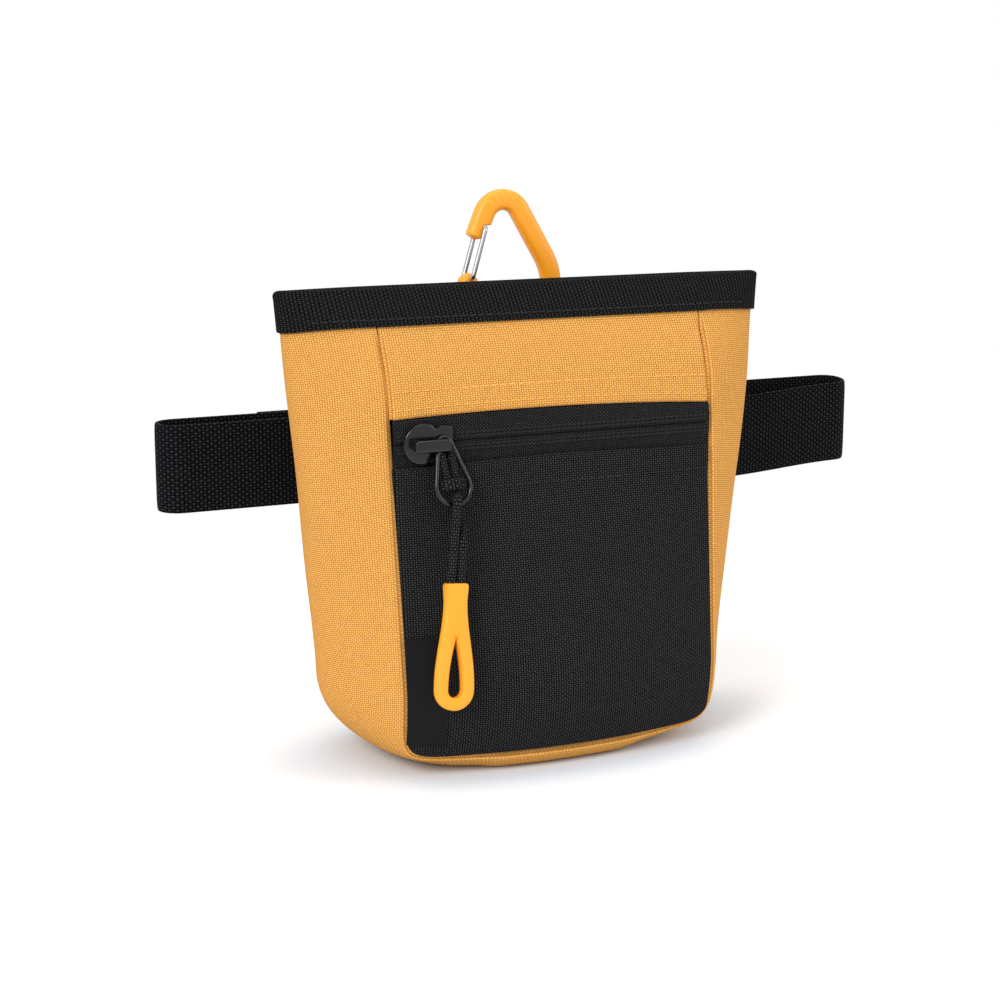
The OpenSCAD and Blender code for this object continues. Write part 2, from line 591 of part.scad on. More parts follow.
// Carabiner: rounded frame in a plane behind the rim, its lower bar in a webbing loop
loop_t = 1.2;
hook_x = 1.8;
hook_y = back_at(0, hook_z)[1] + binding_t + layer_gap + slide_gap + loop_t + slide_gap + hook_w / 2;
loop_bend = hook_w / 2 + slide_gap + loop_t / 2;
loop_neck = 6;
loop_hem = 5;
loop_layer = [loop_t + slide_gap / 2, 0];
loop_path = concat(
    [for (drop = [loop_neck + loop_hem, loop_neck + loop_hem / 2, loop_neck]) on_back(hook_z - drop, loop_t)],
    arc([hook_y, hook_z], loop_bend, 190, -30, 12),
    [for (drop = [loop_neck + loop_hem / 3, loop_neck + loop_hem])
        on_back(hook_z - drop, loop_t) + loop_layer]);
module carabiner_loop() color(black)
    translate([hook_x, 0, 0]) on_x(loop_w) polygon(ribbon(loop_path, loop_t));

hook_half = 12.7;
hook_high = 40.8;
hook_apex_x = -2.4;
hook_lean = 2.4;
hook_shoulder_z = 16;
nose_in = 2.3;
nose_z = 22.5;
post_z = 13;
gate_foot = [hook_x - hook_half + 0.3, hook_z + post_z - 1.3];
gate_top = [hook_x - hook_half + 2.4 * nose_in, hook_z + nose_z + 2.6];
hook_corners = [[hook_x - hook_half + nose_in, hook_z + nose_z], [hook_x + hook_apex_x, hook_z + hook_high],
    [hook_x + hook_half + hook_lean, hook_z + hook_shoulder_z], [hook_x + hook_half, hook_z],
    [hook_x - hook_half, hook_z], [hook_x - hook_half + 0.2, hook_z + post_z]];
hook_radii = [6, 20, 6, 7];
hook_path = rounded(hook_corners, hook_radii, 6);
gate_side = hook_t / 2 + slide_gap + gate_d / 2;
function hook_ring(i) = let (t = along(hook_path, i))
    section([hook_path[i][0], hook_y, hook_path[i][1]], [t[1], 0, -t[0]], [0, 1, 0],
        hook_w / 2, hook_t / 2, 12, 0.7);
module carabiner_frame() color(orange) difference() {
    skin([for (i = [0:len(hook_path) - 1]) hook_ring(i)]);
    translate([gate_foot[0], hook_y + hook_t, gate_foot[1]]) rotate([90, 0, 0])
        cylinder(d = gate_d + 2 * pivot_gap, h = 2 * hook_t, $fn = 24);
    translate([gate_top[0], hook_y + hook_t, gate_top[1]]) rotate([90, 0, 0])
        cylinder(d = gate_d + 2 * slide_gap, h = 2 * hook_t, $fn = 24);
    translate([gate_top[0], hook_y - hook_t, gate_top[1] - gate_d / 2 - slide_gap])
        rotate([0, 25, 0]) cube([6, 2 * hook_t, gate_d + 2 * slide_gap]);
}

// Gate: two wire legs on short pivots, joined by a bar that rests in the nose
gate_bend = 1.2;
module gate_pivot(side)
    translate(at_hook(gate_foot, side * (gate_side + gate_d / 4)))
        rotate([90 * side, 0, 0])
            cylinder(d = gate_d, h = gate_side - 0.6, $fn = 24);
gate_up = unit(gate_top - gate_foot);
function at_hook(p, y) = [p[0], hook_y + y, p[1]];
gate_path = [at_hook(gate_foot, -gate_side), at_hook(gate_top - gate_bend * gate_up, -gate_side),
    at_hook(gate_top, gate_bend - gate_side), at_hook(gate_top, gate_side - gate_bend),
    at_hook(gate_top - gate_bend * gate_up, gate_side), at_hook(gate_foot, gate_side)];
gate_across = [gate_up[1], 0, -gate_up[0]];
module carabiner_gate() color("silver") {
    skin([for (i = [0:len(gate_path) - 1]) let (t = along(gate_path, i))
        section(gate_path[i], gate_across, cross(t, gate_across), gate_d / 2, gate_d / 2, 8, 1)]);
    gate_pivot(-1);
    gate_pivot(1);
}

// Side-release buckle: hollow socket on the left strap end, plug with two arms on the right
buckle_w = belt_w + 9;
buckle_wall = 1.8;
rail_w = 3;
socket_in = -13;
socket_out = 17;
plug_out = plug_bar + bar_r + 2;
plug_gap = 0.3;
arm_t = buckle_t - 2 * buckle_wall - 2 * slide_gap;
module block(x0, x1, half_w, t)
    translate([x0, bar_y - t / 2, belt_z - half_w])
        cube([x1 - x0, t, 2 * half_w]);
module rounded_block(x0, x1, half_w, t, r) translate([0, bar_y + t / 2, belt_z]) rotate([90, 0, 0])
    linear_extrude(t) hull() for (x = [x0 + r, x1 - r]) for (w = [-1, 1])
        translate([x, w * (half_w - r)]) circle(r = r, $fn = 32);
module cross_bar(x)
    translate([x, bar_y, belt_z - buckle_w / 2 + 1])
        cylinder(r = bar_r, h = buckle_w - 2, $fn = 32);
module strap_slot(x0, x1) block(x0, x1, buckle_w / 2 - rail_w, buckle_t + 2);
window_h = 11;
module buckle_socket() color(black) {
    difference() {
        rounded_block(socket_bar - bar_r - 1, socket_out, buckle_w / 2, buckle_t, 4);
        block(socket_in + 3, socket_out + 1, buckle_w / 2 - buckle_wall, buckle_t - 2 * buckle_wall);
        for (w = [-1, 1])
            translate([socket_in + 6, bar_y - window_h / 4, belt_z + w * buckle_w / 2 - 3])
                cube([window_h, window_h / 2, 6]);
        strap_slot(socket_bar - bar_r - 2, socket_in);
    }
    cross_bar(socket_bar);
    for (w = [-1, 1])
        translate([socket_bar - bar_r, bar_y - bar_r, belt_z + w * (buckle_w / 2 - rail_w / 2) - rail_w / 2])
            cube([socket_in - socket_bar + bar_r + 1, 2 * bar_r, rail_w]);
}
module arm(w) translate([0, bar_y + arm_t / 2, belt_z]) rotate([90, 0, 0]) linear_extrude(arm_t)
    polygon([[socket_out - 1, w * 6], [socket_in + 13, w * 8], [socket_in + 10, w * 12],
        [socket_in + 5, w * 12], [socket_in + 3.6, w * 9.5], [socket_in + 7, w * 5.5],
        [socket_out - 1, w * 3.4]]);
module buckle_plug() color(black) {
    difference() {
        rounded_block(socket_out + plug_gap, plug_out, buckle_w / 2, buckle_t - 2, 4);
        strap_slot(plug_bar - bar_r - 7, plug_out + 1);
    }
    block(socket_out - 2, socket_out + 2, buckle_w / 2 - buckle_wall - slide_gap, arm_t);
    arm(1);
    arm(-1);
    block(socket_in + 8, socket_out, 1.6, arm_t - 1);
    cross_bar(plug_bar);
}

// Keeper: a loop round the strap and its tail
keeper_x = 70;
keeper_w = 8;
keeper_t = 1.2;
module keeper_box(grow, w) translate([keeper_x - w / 2, back_layer - belt_t / 2 - grow, belt_low - grow])
    cube([w, tail_layer - back_layer + belt_t + 2 * grow, belt_w + 2 * grow]);
module strap_keeper() color(black) difference() {
    keeper_box(slide_gap + keeper_t, keeper_w);
    keeper_box(slide_gap, keeper_w + 2);
}

back_panel();
back_lining();
gusset_strip();
gusset_rear_left();
gusset_rear_right();
gusset_front_left();
gusset_front_right();
pocket_panel();
pocket_backing();
front_upper_panel();
front_upper_lining();
front_rim_binding();
rear_rim_binding();
front_magnet_strip();
rear_magnet_strip();
zip_tape_upper();
zip_tape_lower();
zip_coil_upper();
zip_coil_lower();
zip_slider();
slider_bail();
pull_wire();
pull_cord();
pull_tab();
side_label();
belt_sleeve();
carabiner_loop();
carabiner_frame();
carabiner_gate();
belt_webbing();
belt_return();
buckle_socket();
buckle_plug();
strap_keeper();
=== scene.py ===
# Treat pouch: the looks of the sewn body, zip, cord pull, carabiner and belt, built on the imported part
import bpy
import bmesh
import math
import numpy as np
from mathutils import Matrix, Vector


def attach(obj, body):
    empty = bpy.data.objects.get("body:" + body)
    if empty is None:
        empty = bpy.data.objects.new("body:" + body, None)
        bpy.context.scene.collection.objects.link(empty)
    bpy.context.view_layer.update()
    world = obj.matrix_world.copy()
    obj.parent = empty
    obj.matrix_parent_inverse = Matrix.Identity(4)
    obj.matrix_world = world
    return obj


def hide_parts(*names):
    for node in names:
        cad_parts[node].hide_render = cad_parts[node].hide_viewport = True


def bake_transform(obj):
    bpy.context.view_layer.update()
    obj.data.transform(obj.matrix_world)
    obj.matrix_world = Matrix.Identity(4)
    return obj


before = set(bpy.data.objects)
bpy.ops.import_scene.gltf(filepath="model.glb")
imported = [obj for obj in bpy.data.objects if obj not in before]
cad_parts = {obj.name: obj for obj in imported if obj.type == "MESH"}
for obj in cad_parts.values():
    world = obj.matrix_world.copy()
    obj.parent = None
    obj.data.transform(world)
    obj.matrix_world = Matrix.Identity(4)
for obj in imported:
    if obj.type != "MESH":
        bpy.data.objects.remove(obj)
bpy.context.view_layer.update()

# Everything is worked out in millimetres and turned into metres when a mesh is made
metre = 0.001
uvScale = 0.01
fullTurn = 2 * math.pi
quarter = math.pi / 2
body = {
    "rimZ": 133.0, "foldZ": 99.5, "sideZ": 25.0, "panelZ": 5.0,
    "mouthHalf": 73.5, "footHalf": 59.5, "panelTop": 49.25, "panelFoot": 47.75,
    "frontD": 27.5, "frontFoldD": 20.0, "backD": 27.0, "backFoldD": 17.5, "rimD": 3.5,
    "belly": 7.0, "sag": 3.5, "tuck": 10.0, "middleY": 3.5,
    "cornerR": 28.5, "cornerReach": 39.5, "seamR": 20.0, "seamSquare": 6.0,
    "footShare": 0.3, "sideShare": 0.5,
    "baseCrease": 0.08, "lowCrease": 0.75, "sideCrease": 0.42, "creaseFrom": 0.2,
    "rearCreaseOver": 0.4, "frontCreaseOver": 0.3, "seamGap": 0.35,
}


# A straight mix from a to b by the share t
def lerp(a, b, t):
    return a + (b - a) * t


# Eases from 0 to 1 as three t squared less two t cubed, and stays there outside
def smooth(t):
    c = np.clip(t, 0, 1)
    return c * c * (3 - 2 * c)


# Vectors divided by their own length
def unit(v):
    return v / np.maximum(np.linalg.norm(v, axis=-1, keepdims=True), 1e-12)


# Coordinates put together into points
def points(*parts):
    return np.stack(np.broadcast_arrays(*[np.asarray(p, float) for p in parts]), -1)


# Even angles once round
def roundTurn(count):
    return np.arange(count) * fullTurn / count


# Cosine and sine of a round section, squarer for a power under 1
def section(count, power):
    turn = roundTurn(count)
    both = [np.where(np.abs(f) < 1e-9, 0, f) for f in (np.cos(turn), np.sin(turn))]
    return [np.sign(f) * np.abs(f) ** power for f in both]


# From 0 to 1 in a count of steps that are fine at both ends
def fineEnds(count):
    return 0.5 - 0.5 * np.cos(np.linspace(0, math.pi, count))


# Half the width between the side seams, a straight line from foot to rim
def seamX(z):
    return lerp(body["panelFoot"], body["panelTop"], z / body["rimZ"])


# Height on the straight sides, 0 at their foot and 1 at the rim
def sideRise(z):
    return (z - body["sideZ"]) / (body["rimZ"] - body["sideZ"])


# Depth of a wall by height: straight from foot to fold, a parabola from there to the rim, and a quarter
# round that tucks in at the foot
def wallDepth(z, footD, foldD):
    above = np.clip((z - body["foldZ"]) / (body["rimZ"] - body["foldZ"]), 0, None)
    below = np.clip((body["foldZ"] - z) / (body["foldZ"] - body["sideZ"]), 0, 1)
    low = np.clip((body["sideZ"] - z) / body["sideZ"], 0, 1)
    tuckIn = body["tuck"] * (1 - np.sqrt(1 - low * low))
    upperWall = lerp(foldD, body["rimD"], above * above)
    return np.where(z > body["foldZ"], upperWall, lerp(foldD, footD, below) - tuckIn)


# Front wall: the depth and a belly, a parabola across that eases out towards the fold
def frontAt(x, z):
    bulge = body["belly"] * smooth((body["foldZ"] - z) / (body["foldZ"] - body["sideZ"]))
    bulge = bulge * np.clip(1 - (x / seamX(z)) ** 2, 0, None)
    return points(x, -wallDepth(z, body["frontD"], body["frontFoldD"]) - bulge, z)


# Back wall: the depth alone
def backAt(x, z):
    return points(x, wallDepth(z, body["backD"], body["backFoldD"]), z)


# A U-shaped line: flat foot, a corner on a superellipse, straight side; s runs from -1 at the left rim to 1
# at the right
def outline(s, half, low, rise, reach, square, top):
    a = np.abs(s)
    z = lerp(body["sideZ"], body["rimZ"], (a - body["sideShare"]) / (1 - body["sideShare"]))
    turn = np.clip((a - body["footShare"]) / (body["sideShare"] - body["footShare"]), 0, 1) * quarter
    atFoot = a < body["footShare"]
    atSide = a >= body["sideShare"]
    across = np.sin(turn)
    down = np.clip(np.cos(turn), 0, 1)
    out = (across ** square + down ** square) ** (-1 / square)
    cornerX = half - reach * (1 - across * out)
    cornerZ = low + rise * (1 - down * out)
    side = lerp(half, top, sideRise(z))
    x = np.where(atFoot, (half - reach) * a / body["footShare"], np.where(atSide, side, cornerX))
    return np.sign(s) * x, np.where(atFoot, low, np.where(atSide, z, cornerZ))


# Gusset: two curves of the second degree, from the front seam to the outer edge and from there to the rear
# seam, w from 0 to 1
def gussetAt(s, w):
    rear = w > 0.5
    half = lerp(body["footHalf"], body["mouthHalf"], body["sideZ"] / body["rimZ"])
    seam = outline(s, seamX(body["sideZ"]), body["panelZ"], body["seamR"], body["seamR"],
                   body["seamSquare"], body["panelTop"])
    outer = outline(s, half, -body["sag"], body["cornerR"], body["cornerReach"], 2.0, body["mouthHalf"])
    start = np.where(rear[..., None], backAt(*seam), frontAt(*seam))
    middle = points(outer[0], body["middleY"] * (1 - np.clip(outer[1], 0, None) / body["rimZ"]), outer[1])
    fromBase = np.abs(s) - body["creaseFrom"]
    fromCorner = np.abs(s) - body["sideShare"]
    rearCrease = lerp(body["baseCrease"], body["sideCrease"], smooth(fromBase / body["rearCreaseOver"]))
    lowCrease = lerp(body["baseCrease"], body["lowCrease"], smooth(fromBase / body["frontCreaseOver"]))
    frontCrease = lerp(lowCrease, body["sideCrease"], smooth(fromCorner / body["frontCreaseOver"]))
    crease = np.where(rear, rearCrease, frontCrease)
    control = points(outer[0], lerp(start[..., 1], middle[..., 1], crease), outer[1])
    t = np.where(rear, 2 - 2 * w, 2 * w)[..., None]
    p = (1 - t) ** 2 * start + 2 * t * (1 - t) * control + t * t * middle
    p[..., 2] = np.maximum(p[..., 2], 0)
    return p


# Slow waves that keep cloth from looking pressed: a few sines at odd angles, about -1 to 1
def cloudy(a, b, seed, wave):
    chance = np.random.default_rng(seed)
    total = np.zeros(np.broadcast(a, b).shape)
    sines = 6
    for _ in range(sines):
        angle = chance.uniform(0, fullTurn)
        length = wave * chance.uniform(0.6, 1.6)
        phase = chance.uniform(0, 6.3)
        total = total + np.sin((a * math.cos(angle) + b * math.sin(angle)) * fullTurn / length + phase)
    return total / sines


# Quads of a grid, each between four neighbours; either way may close on itself
def gridFaces(nu, nv, closeU=False, closeV=False, start=0):
    i = np.arange(nu if closeU else nu - 1)[:, None]
    j = np.arange(nv if closeV else nv - 1)[None, :]
    corners = [start + (a % nu) * nv + b % nv for a, b in ((i, j), (i + 1, j), (i + 1, j + 1), (i, j + 1))]
    return np.stack(np.broadcast_arrays(*corners), -1).reshape(-1, 4)


# An object from points in millimetres: faces turned outwards, smooth shading, the map and the materials
def makeObject(name, verts, faces, mats, uv=None, matIds=None, sharp=50):
    mesh = bpy.data.meshes.new(name)
    inMetres = np.asarray(verts).reshape(-1, 3) * metre
    mesh.from_pydata(inMetres.tolist(), [], [list(map(int, f)) for f in faces])
    if matIds is not None:
        mesh.polygons.foreach_set("material_index", np.asarray(matIds, np.int32))
    if uv is not None:
        layer = mesh.uv_layers.new(name="cloth")
        corner = np.zeros(len(mesh.loops), np.int32)
        mesh.loops.foreach_get("vertex_index", corner)
        atCorner = np.asarray(uv).reshape(-1, 2)[corner] * uvScale
        layer.data.foreach_set("uv", atCorner.astype(np.float32).ravel())
    work = bmesh.new()
    work.from_mesh(mesh)
    bmesh.ops.recalc_face_normals(work, faces=work.faces)
    work.to_mesh(mesh)
    work.free()
    mesh.polygons.foreach_set("use_smooth", np.ones(len(mesh.polygons), bool))
    mesh.set_sharp_from_angle(angle=math.radians(sharp))
    for m in mats:
        mesh.materials.append(m)
    o = bpy.data.objects.new(name, mesh)
    bpy.context.scene.collection.objects.link(o)
    return o


# What each piece rides on and the nodes it stands for, which it hides; the material slot is not used
def settle(piece, rides, slot, *nodes):
    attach(piece, rides)
    if nodes:
        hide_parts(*nodes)


# Cloth between an outer and an inner grid of points, closed along its edges
def shell(name, outer, inner, uv, mats, closeU=False):
    nu, nv = outer.shape[:2]
    n = nu * nv
    skins = [gridFaces(nu, nv, closeU), gridFaces(nu, nv, closeU, start=n)]
    steps = nu if closeU else nu - 1
    sides = [(i * nv + j, (i + 1) % nu * nv + j) for i in range(steps) for j in (0, nv - 1)]
    if not closeU:
        sides += [(i * nv + j, i * nv + j + 1) for j in range(nv - 1) for i in (0, nu - 1)]
    edges = [[a, b, n + b, n + a] for a, b in sides]
    ids = [0] * len(skins[0]) + [1] * len(skins[1]) + [0] * len(edges)
    verts = np.concatenate([outer.reshape(-1, 3), inner.reshape(-1, 3)])
    bothUv = np.concatenate([uv.reshape(-1, 2)] * 2)
    return makeObject(name, verts, [*skins[0], *skins[1], *edges], mats, bothUv, ids)


# Skin through rings of points, with flat ends or its ends joined
def skin(name, ringPts, mats, uv=None, closed=False, sharp=50):
    m, n = ringPts.shape[:2]
    faces = [list(f) for f in gridFaces(m, n, closed, True)]
    if not closed:
        faces += [list(range(n)), list(range((m - 1) * n, m * n))]
    return makeObject(name, ringPts, faces, mats, uv, None, sharp)


# Round rings along a path; their side direction is given or carried along
def rings(path, radius, side=None, count=16, closed=False):
    path = np.asarray(path, float)
    ahead = np.roll(path, -1, 0) - np.roll(path, 1, 0) if closed else np.gradient(path, axis=0)
    t = unit(ahead)
    if side is None:
        a = np.zeros_like(path)
        a[0] = unit(np.cross(t[0], [0.31, 0.9, 0.2]))
        for i in range(1, len(path)):
            a[i] = unit(a[i - 1] - t[i] * (a[i - 1] @ t[i]))
    else:
        a = unit(np.cross(t, np.cross(np.broadcast_to(side, t.shape), t)))
    b = np.cross(t, a)
    turn = roundTurn(count)[None, :, None]
    return path[:, None] + a[:, None] * radius * np.cos(turn) + b[:, None] * radius * np.sin(turn)


# Distance run along a path, the sum of its steps
def lengths(path):
    return np.concatenate([[0], np.cumsum(np.linalg.norm(np.diff(path, axis=0), axis=-1))])


# Distance run over a grid of points along one of its two ways
def runAlong(p, axis):
    steps = np.linalg.norm(np.diff(p, axis=axis), axis=-1)
    return np.concatenate([0 * np.take(steps, [0], axis), np.cumsum(steps, axis)], axis)


# Map of a skin: the distance along its path and the distance round its section
def skinMap(path, aroundIt):
    return points(lengths(path)[:, None], aroundIt[None, :])


# Points at given distances along a path
def pointsAt(q, at, path):
    return np.stack([np.interp(q, at, path[:, k]) for k in range(path.shape[1])], -1)


# Points evenly along a smooth line through a few points
def flow(pts, count):
    pts = np.asarray(pts, float)
    at = lengths(pts)
    slope = np.gradient(pts, at, axis=0)
    q = np.linspace(0, at[-1], count)
    i = np.clip(np.searchsorted(at, q, side="right") - 1, 0, len(pts) - 2)
    h = (at[i + 1] - at[i])[:, None]
    t = ((q - at[i]) / h[:, 0])[:, None]
    return ((2 * t ** 3 - 3 * t ** 2 + 1) * pts[i] + (t ** 3 - 2 * t ** 2 + t) * h * slope[i]
            + (3 * t ** 2 - 2 * t ** 3) * pts[i + 1] + (t ** 3 - t ** 2) * h * slope[i + 1])


# A path whose corners become arcs that touch both sides
def roundedPath(corners, radii, count=10):
    corners = [np.asarray(c, float) for c in corners]
    path = [corners[0]]
    for p, q, r, radius in zip(corners, corners[1:], corners[2:], radii):
        a = unit(p - q)
        b = unit(r - q)
        half = math.acos(np.clip(a @ b, -1, 1)) / 2
        centre = q + unit(a + b) * radius / math.sin(half)
        first = q + a * radius / math.tan(half) - centre
        last = q + b * radius / math.tan(half) - centre
        sweep = math.pi - 2 * half
        for k in range(count + 1):
            mixed = math.sin((1 - k / count) * sweep) * first + math.sin(k / count * sweep) * last
            path.append(centre + mixed / math.sin(sweep))
    return np.array(path + [corners[-1]])


# A path cut again into even steps
def evenly(path, step):
    at = lengths(path)
    return pointsAt(np.linspace(0, at[-1], max(2, int(at[-1] / step))), at, path)


# A flat strip along a path: its section is a thin bar with rounded edges, wide along one direction
def strip(name, line, thick, wide, widthWay, mat):
    thin = np.cross(unit(np.gradient(line, axis=0)), widthWay)
    c, s = section(36, 0.3)
    overThick = thin[:, None] * (thick / 2 * c)[None, :, None]
    overWidth = (wide / 2 * s)[None, :, None] * widthWay
    return skin(name, line[:, None] + overThick + overWidth, [mat], skinMap(line, wide / 2 * s), False, 60)


# Flat plate with rounded edges from an outline: the outline is drawn in as the edge turns over
def plate(name, line, thick, edge, origin, mats):
    t = unit(np.roll(line, -1, 0) - np.roll(line, 1, 0))
    out = np.stack([t[:, 1], -t[:, 0]], -1)
    area = np.sum(line[:, 0] * np.roll(line[:, 1], -1) - np.roll(line[:, 0], -1) * line[:, 1])
    out = out if area > 0 else -out
    turn = np.linspace(0, quarter, 5)
    inset = np.concatenate([edge * (1 - np.sin(turn)), edge * (1 - np.sin(turn[::-1]))])
    level = np.concatenate([edge * (1 - np.cos(turn)), thick - edge * (1 - np.cos(turn[::-1]))])
    flat = line[None] - out[None] * inset[:, None, None]
    return skin(name, np.asarray(origin) + points(flat[..., 0], -level[:, None], flat[..., 1]), mats)


# Sewing thread: spacing, length and thickness of the stitches in each kind of row
thread = {"rim": (2.6, 2.2, 0.4), "panel": (2.8, 2.2, 0.4), "zip": (1.5, 1.25, 0.42),
          "belt": (2.2, 1.8, 0.45), "sleeve": (3.0, 2.5, 0.5)}


# Short rounded dashes along a line, each sunk a little at its ends; the way out is one or one for each point
def stitches(name, line, wayOut, kind, mat):
    step, dash, thick = thread[kind]
    at = lengths(line)
    count = max(2, int(at[-1] / step))
    q = (np.arange(count) + 0.5) * at[-1] / count
    near = 0.2
    centre = pointsAt(q, at, line)
    t = unit(pointsAt(q + near, at, line) - pointsAt(q - near, at, line))
    out = unit(pointsAt(q, at, np.broadcast_to(wayOut, line.shape)))
    b = np.cross(t, out)
    along = np.linspace(-1, 1, 7)
    turn = roundTurn(6)
    fat = np.sqrt(1 - (along * 0.96) ** 2) * thick / 2
    lift = (1 - along ** 2) * 0.35 * thick
    pts = (centre[:, None, None] + t[:, None, None] * (along * dash / 2)[None, :, None, None]
           + out[:, None, None] * (lift[:, None] + fat[:, None] * np.cos(turn))[None, :, :, None]
           + b[:, None, None] * (fat[:, None] * np.sin(turn))[None, :, :, None])
    m, n = len(along), len(turn)
    faces = []
    for first in range(0, count * m * n, m * n):
        faces += [list(f) for f in gridFaces(m, n, False, True, start=first)]
        faces += [list(range(first, first + n)), list(range(first + (m - 1) * n, first + m * n))]
    return makeObject(name, pts, faces, [mat], None, None, 80)


# A straight row of stitches on a flat place
def straightRow(name, start, end, wayOut, kind, mat):
    return stitches(name, np.linspace(start, end, 40), wayOut, kind, mat)


# Materials: a hex colour turned from sRGB to linear
def linear(hexColour):
    c = np.array([int(hexColour[i:i + 2], 16) for i in (1, 3, 5)]) / 255
    return [*np.where(c <= 0.04045, c / 12.92, ((c + 0.055) / 1.055) ** 2.4), 1.0]


# Adds a node with its settings, and links or sets its inputs
def addNode(tree, kind, inputs, **settings):
    made = tree.nodes.new(kind)
    for key, value in settings.items():
        setattr(made, key, value)
    for key, value in inputs.items():
        if isinstance(value, bpy.types.NodeSocket):
            tree.links.new(value, made.inputs[key])
        else:
            made.inputs[key].default_value = value
    return made


# A new material with some of its shader's own inputs set
def startMaterial(name, **inputs):
    m = bpy.data.materials.new(name)
    m.use_nodes = True
    shader = m.node_tree.nodes["Principled BSDF"]
    for key, value in inputs.items():
        shader.inputs[key.replace("_", " ")].default_value = value
    return m, m.node_tree, shader


fleckScale = 900.0  # flecks and grain about 1.1 mm across, as coarse as they need to be to show


# Cloth: small pillows where a yarn shows, every second one higher, with dark lines between them; the pillows
# come from two sines of the cloth's own millimetre map. Their height also sets the colour: a painted
# highlight on the raised yarns and painted shade in the dark lines between them
def clothMaterial(name, dark, light, pitch, over, rough, relief, span=(0.28, 1.22)):
    m, tree, shader = startMaterial(name, Roughness=rough, Specular_IOR_Level=0.03)
    uv = addNode(tree, "ShaderNodeUVMap", {}, uv_map="cloth")
    axes = addNode(tree, "ShaderNodeSeparateXYZ", {0: uv.outputs[0]})
    waves = {}
    for axis in (0, 1):
        turns = {0: axes.outputs[axis], 1: fullTurn / (pitch[axis] * uvScale)}
        angle = addNode(tree, "ShaderNodeMath", turns, operation="MULTIPLY").outputs[0]
        waves[axis] = addNode(tree, "ShaderNodeMath", {0: angle}, operation="SINE").outputs[0]
    joined = addNode(tree, "ShaderNodeMath", waves, operation="MULTIPLY").outputs[0]
    pillow = addNode(tree, "ShaderNodeMath", {0: joined}, operation="ABSOLUTE").outputs[0]
    higher = {0: joined, 1: over, 2: pillow}
    woven = addNode(tree, "ShaderNodeMath", higher, operation="MULTIPLY_ADD").outputs[0]
    place = addNode(tree, "ShaderNodeTexCoord", {}).outputs["Object"]
    flecks = {"Vector": place, "Scale": fleckScale, "Detail": 2.0}
    fleck = addNode(tree, "ShaderNodeTexNoise", flecks).outputs[0]
    uneven = {0: fleck, 1: 0.35, 2: woven}
    height = addNode(tree, "ShaderNodeMath", uneven, operation="MULTIPLY_ADD").outputs[0]
    share = addNode(tree, "ShaderNodeMapRange", {0: height, 1: span[0], 2: span[1]}).outputs[0]
    # Painted light: the yarn tops take the light colour as a painted highlight, the gaps the dark one as
    # painted shade
    paintedYarnLight = {0: share, 6: linear(dark), 7: linear(light)}
    colour = addNode(tree, "ShaderNodeMix", paintedYarnLight, data_type="RGBA")
    raised = {"Height": height, "Strength": 0.5, "Distance": relief * metre}
    bump = addNode(tree, "ShaderNodeBump", raised)
    tree.links.new(colour.outputs[2], shader.inputs["Base Color"])
    tree.links.new(bump.outputs[0], shader.inputs["Normal"])
    return m


# One even colour; a moulded grain is a fine noise in the bump
def solidMaterial(name, colour, rough, metal=0.0, grain=0.0, shine=0.5):
    m, tree, shader = startMaterial(name, Base_Color=linear(colour), Roughness=rough, Metallic=metal,
                                    Specular_IOR_Level=shine)
    if grain:
        place = addNode(tree, "ShaderNodeTexCoord", {}).outputs["Object"]
        fine = addNode(tree, "ShaderNodeTexNoise", {"Vector": place, "Scale": fleckScale, "Detail": 3.0})
        raised = {"Height": fine.outputs[0], "Strength": 0.3, "Distance": grain * metre}
        bump = addNode(tree, "ShaderNodeBump", raised)
        tree.links.new(bump.outputs[0], shader.inputs["Normal"])
    return m


# Spacing of two yarns of each cloth in millimetres, along and across its map
weave = {"cloth": (1.45, 1.2), "tape": (2.3, 1.1), "belt": (2.2, 1.6), "zip": (1.1, 1.0),
         "lining": (0.8, 0.8), "cord": (1.6, 1.3)}
# Mustard cloth, with a painted highlight on the yarns and painted shade between them
yellowWeave = clothMaterial("yellow polyester weave", "#8E5214", "#FCBE68", weave["cloth"], 0.22, 0.85, 0.22,
                            (-0.05, 1.22))
# Near black cloth, with grey painted highlights on the yarns
blackWeave = clothMaterial("black polyester weave", "#030303", "#3D3D3F", weave["cloth"], 0.25, 0.75, 0.22)
# Upright ribs with a dotted painted highlight
bindingTape = clothMaterial("black ribbed tape", "#020202", "#303032", weave["tape"], 0.3, 0.75, 0.25)
# Dotted ribs across the strap, the dots a painted highlight
webbing = clothMaterial("black webbing", "#010102", "#2C2D30", weave["belt"], 0.5, 0.7, 0.3)
# A fine flat weave, greyer than the webbing in its painted highlights
zipTape = clothMaterial("black zip tape", "#040404", "#3C3C3E", weave["zip"], 0.4, 0.75, 0.12)
# Thin smooth cloth that stays dark, with a weave whose painted highlight hardly shows
liningCloth = clothMaterial("black lining", "#060607", "#121213", weave["lining"], 0.3, 0.7, 0.05)
# Spun thread, a little lighter than the cloth it holds
yellowThread = solidMaterial("yellow thread", "#EFB45C", 0.6, shine=0.1)
blackThread = solidMaterial("black thread", "#2C2C2E", 0.7, shine=0.1)
# Black with sharp pale lights on its edges
gunmetal = solidMaterial("black plated metal", "#111112", 0.18, 0.3, shine=0.7)
# Drawn wire with bright soft reflections
steelWire = solidMaterial("bright steel wire", "#B9BABD", 0.25, 1.0)
# Dull orange with wide soft lights
orangeRubber = solidMaterial("orange soft moulding", "#F59E1A", 0.5)
# The same orange as a smooth coat, with clearer lights
orangeCoat = solidMaterial("orange coated frame", "#F8A01A", 0.36)
# Dull black with a fine moulded grain
blackPlastic = solidMaterial("black moulded plastic", "#161617", 0.45, 0.0, 0.03)
# Smooth black strand
nylonCoil = solidMaterial("black nylon coil", "#101011", 0.4)
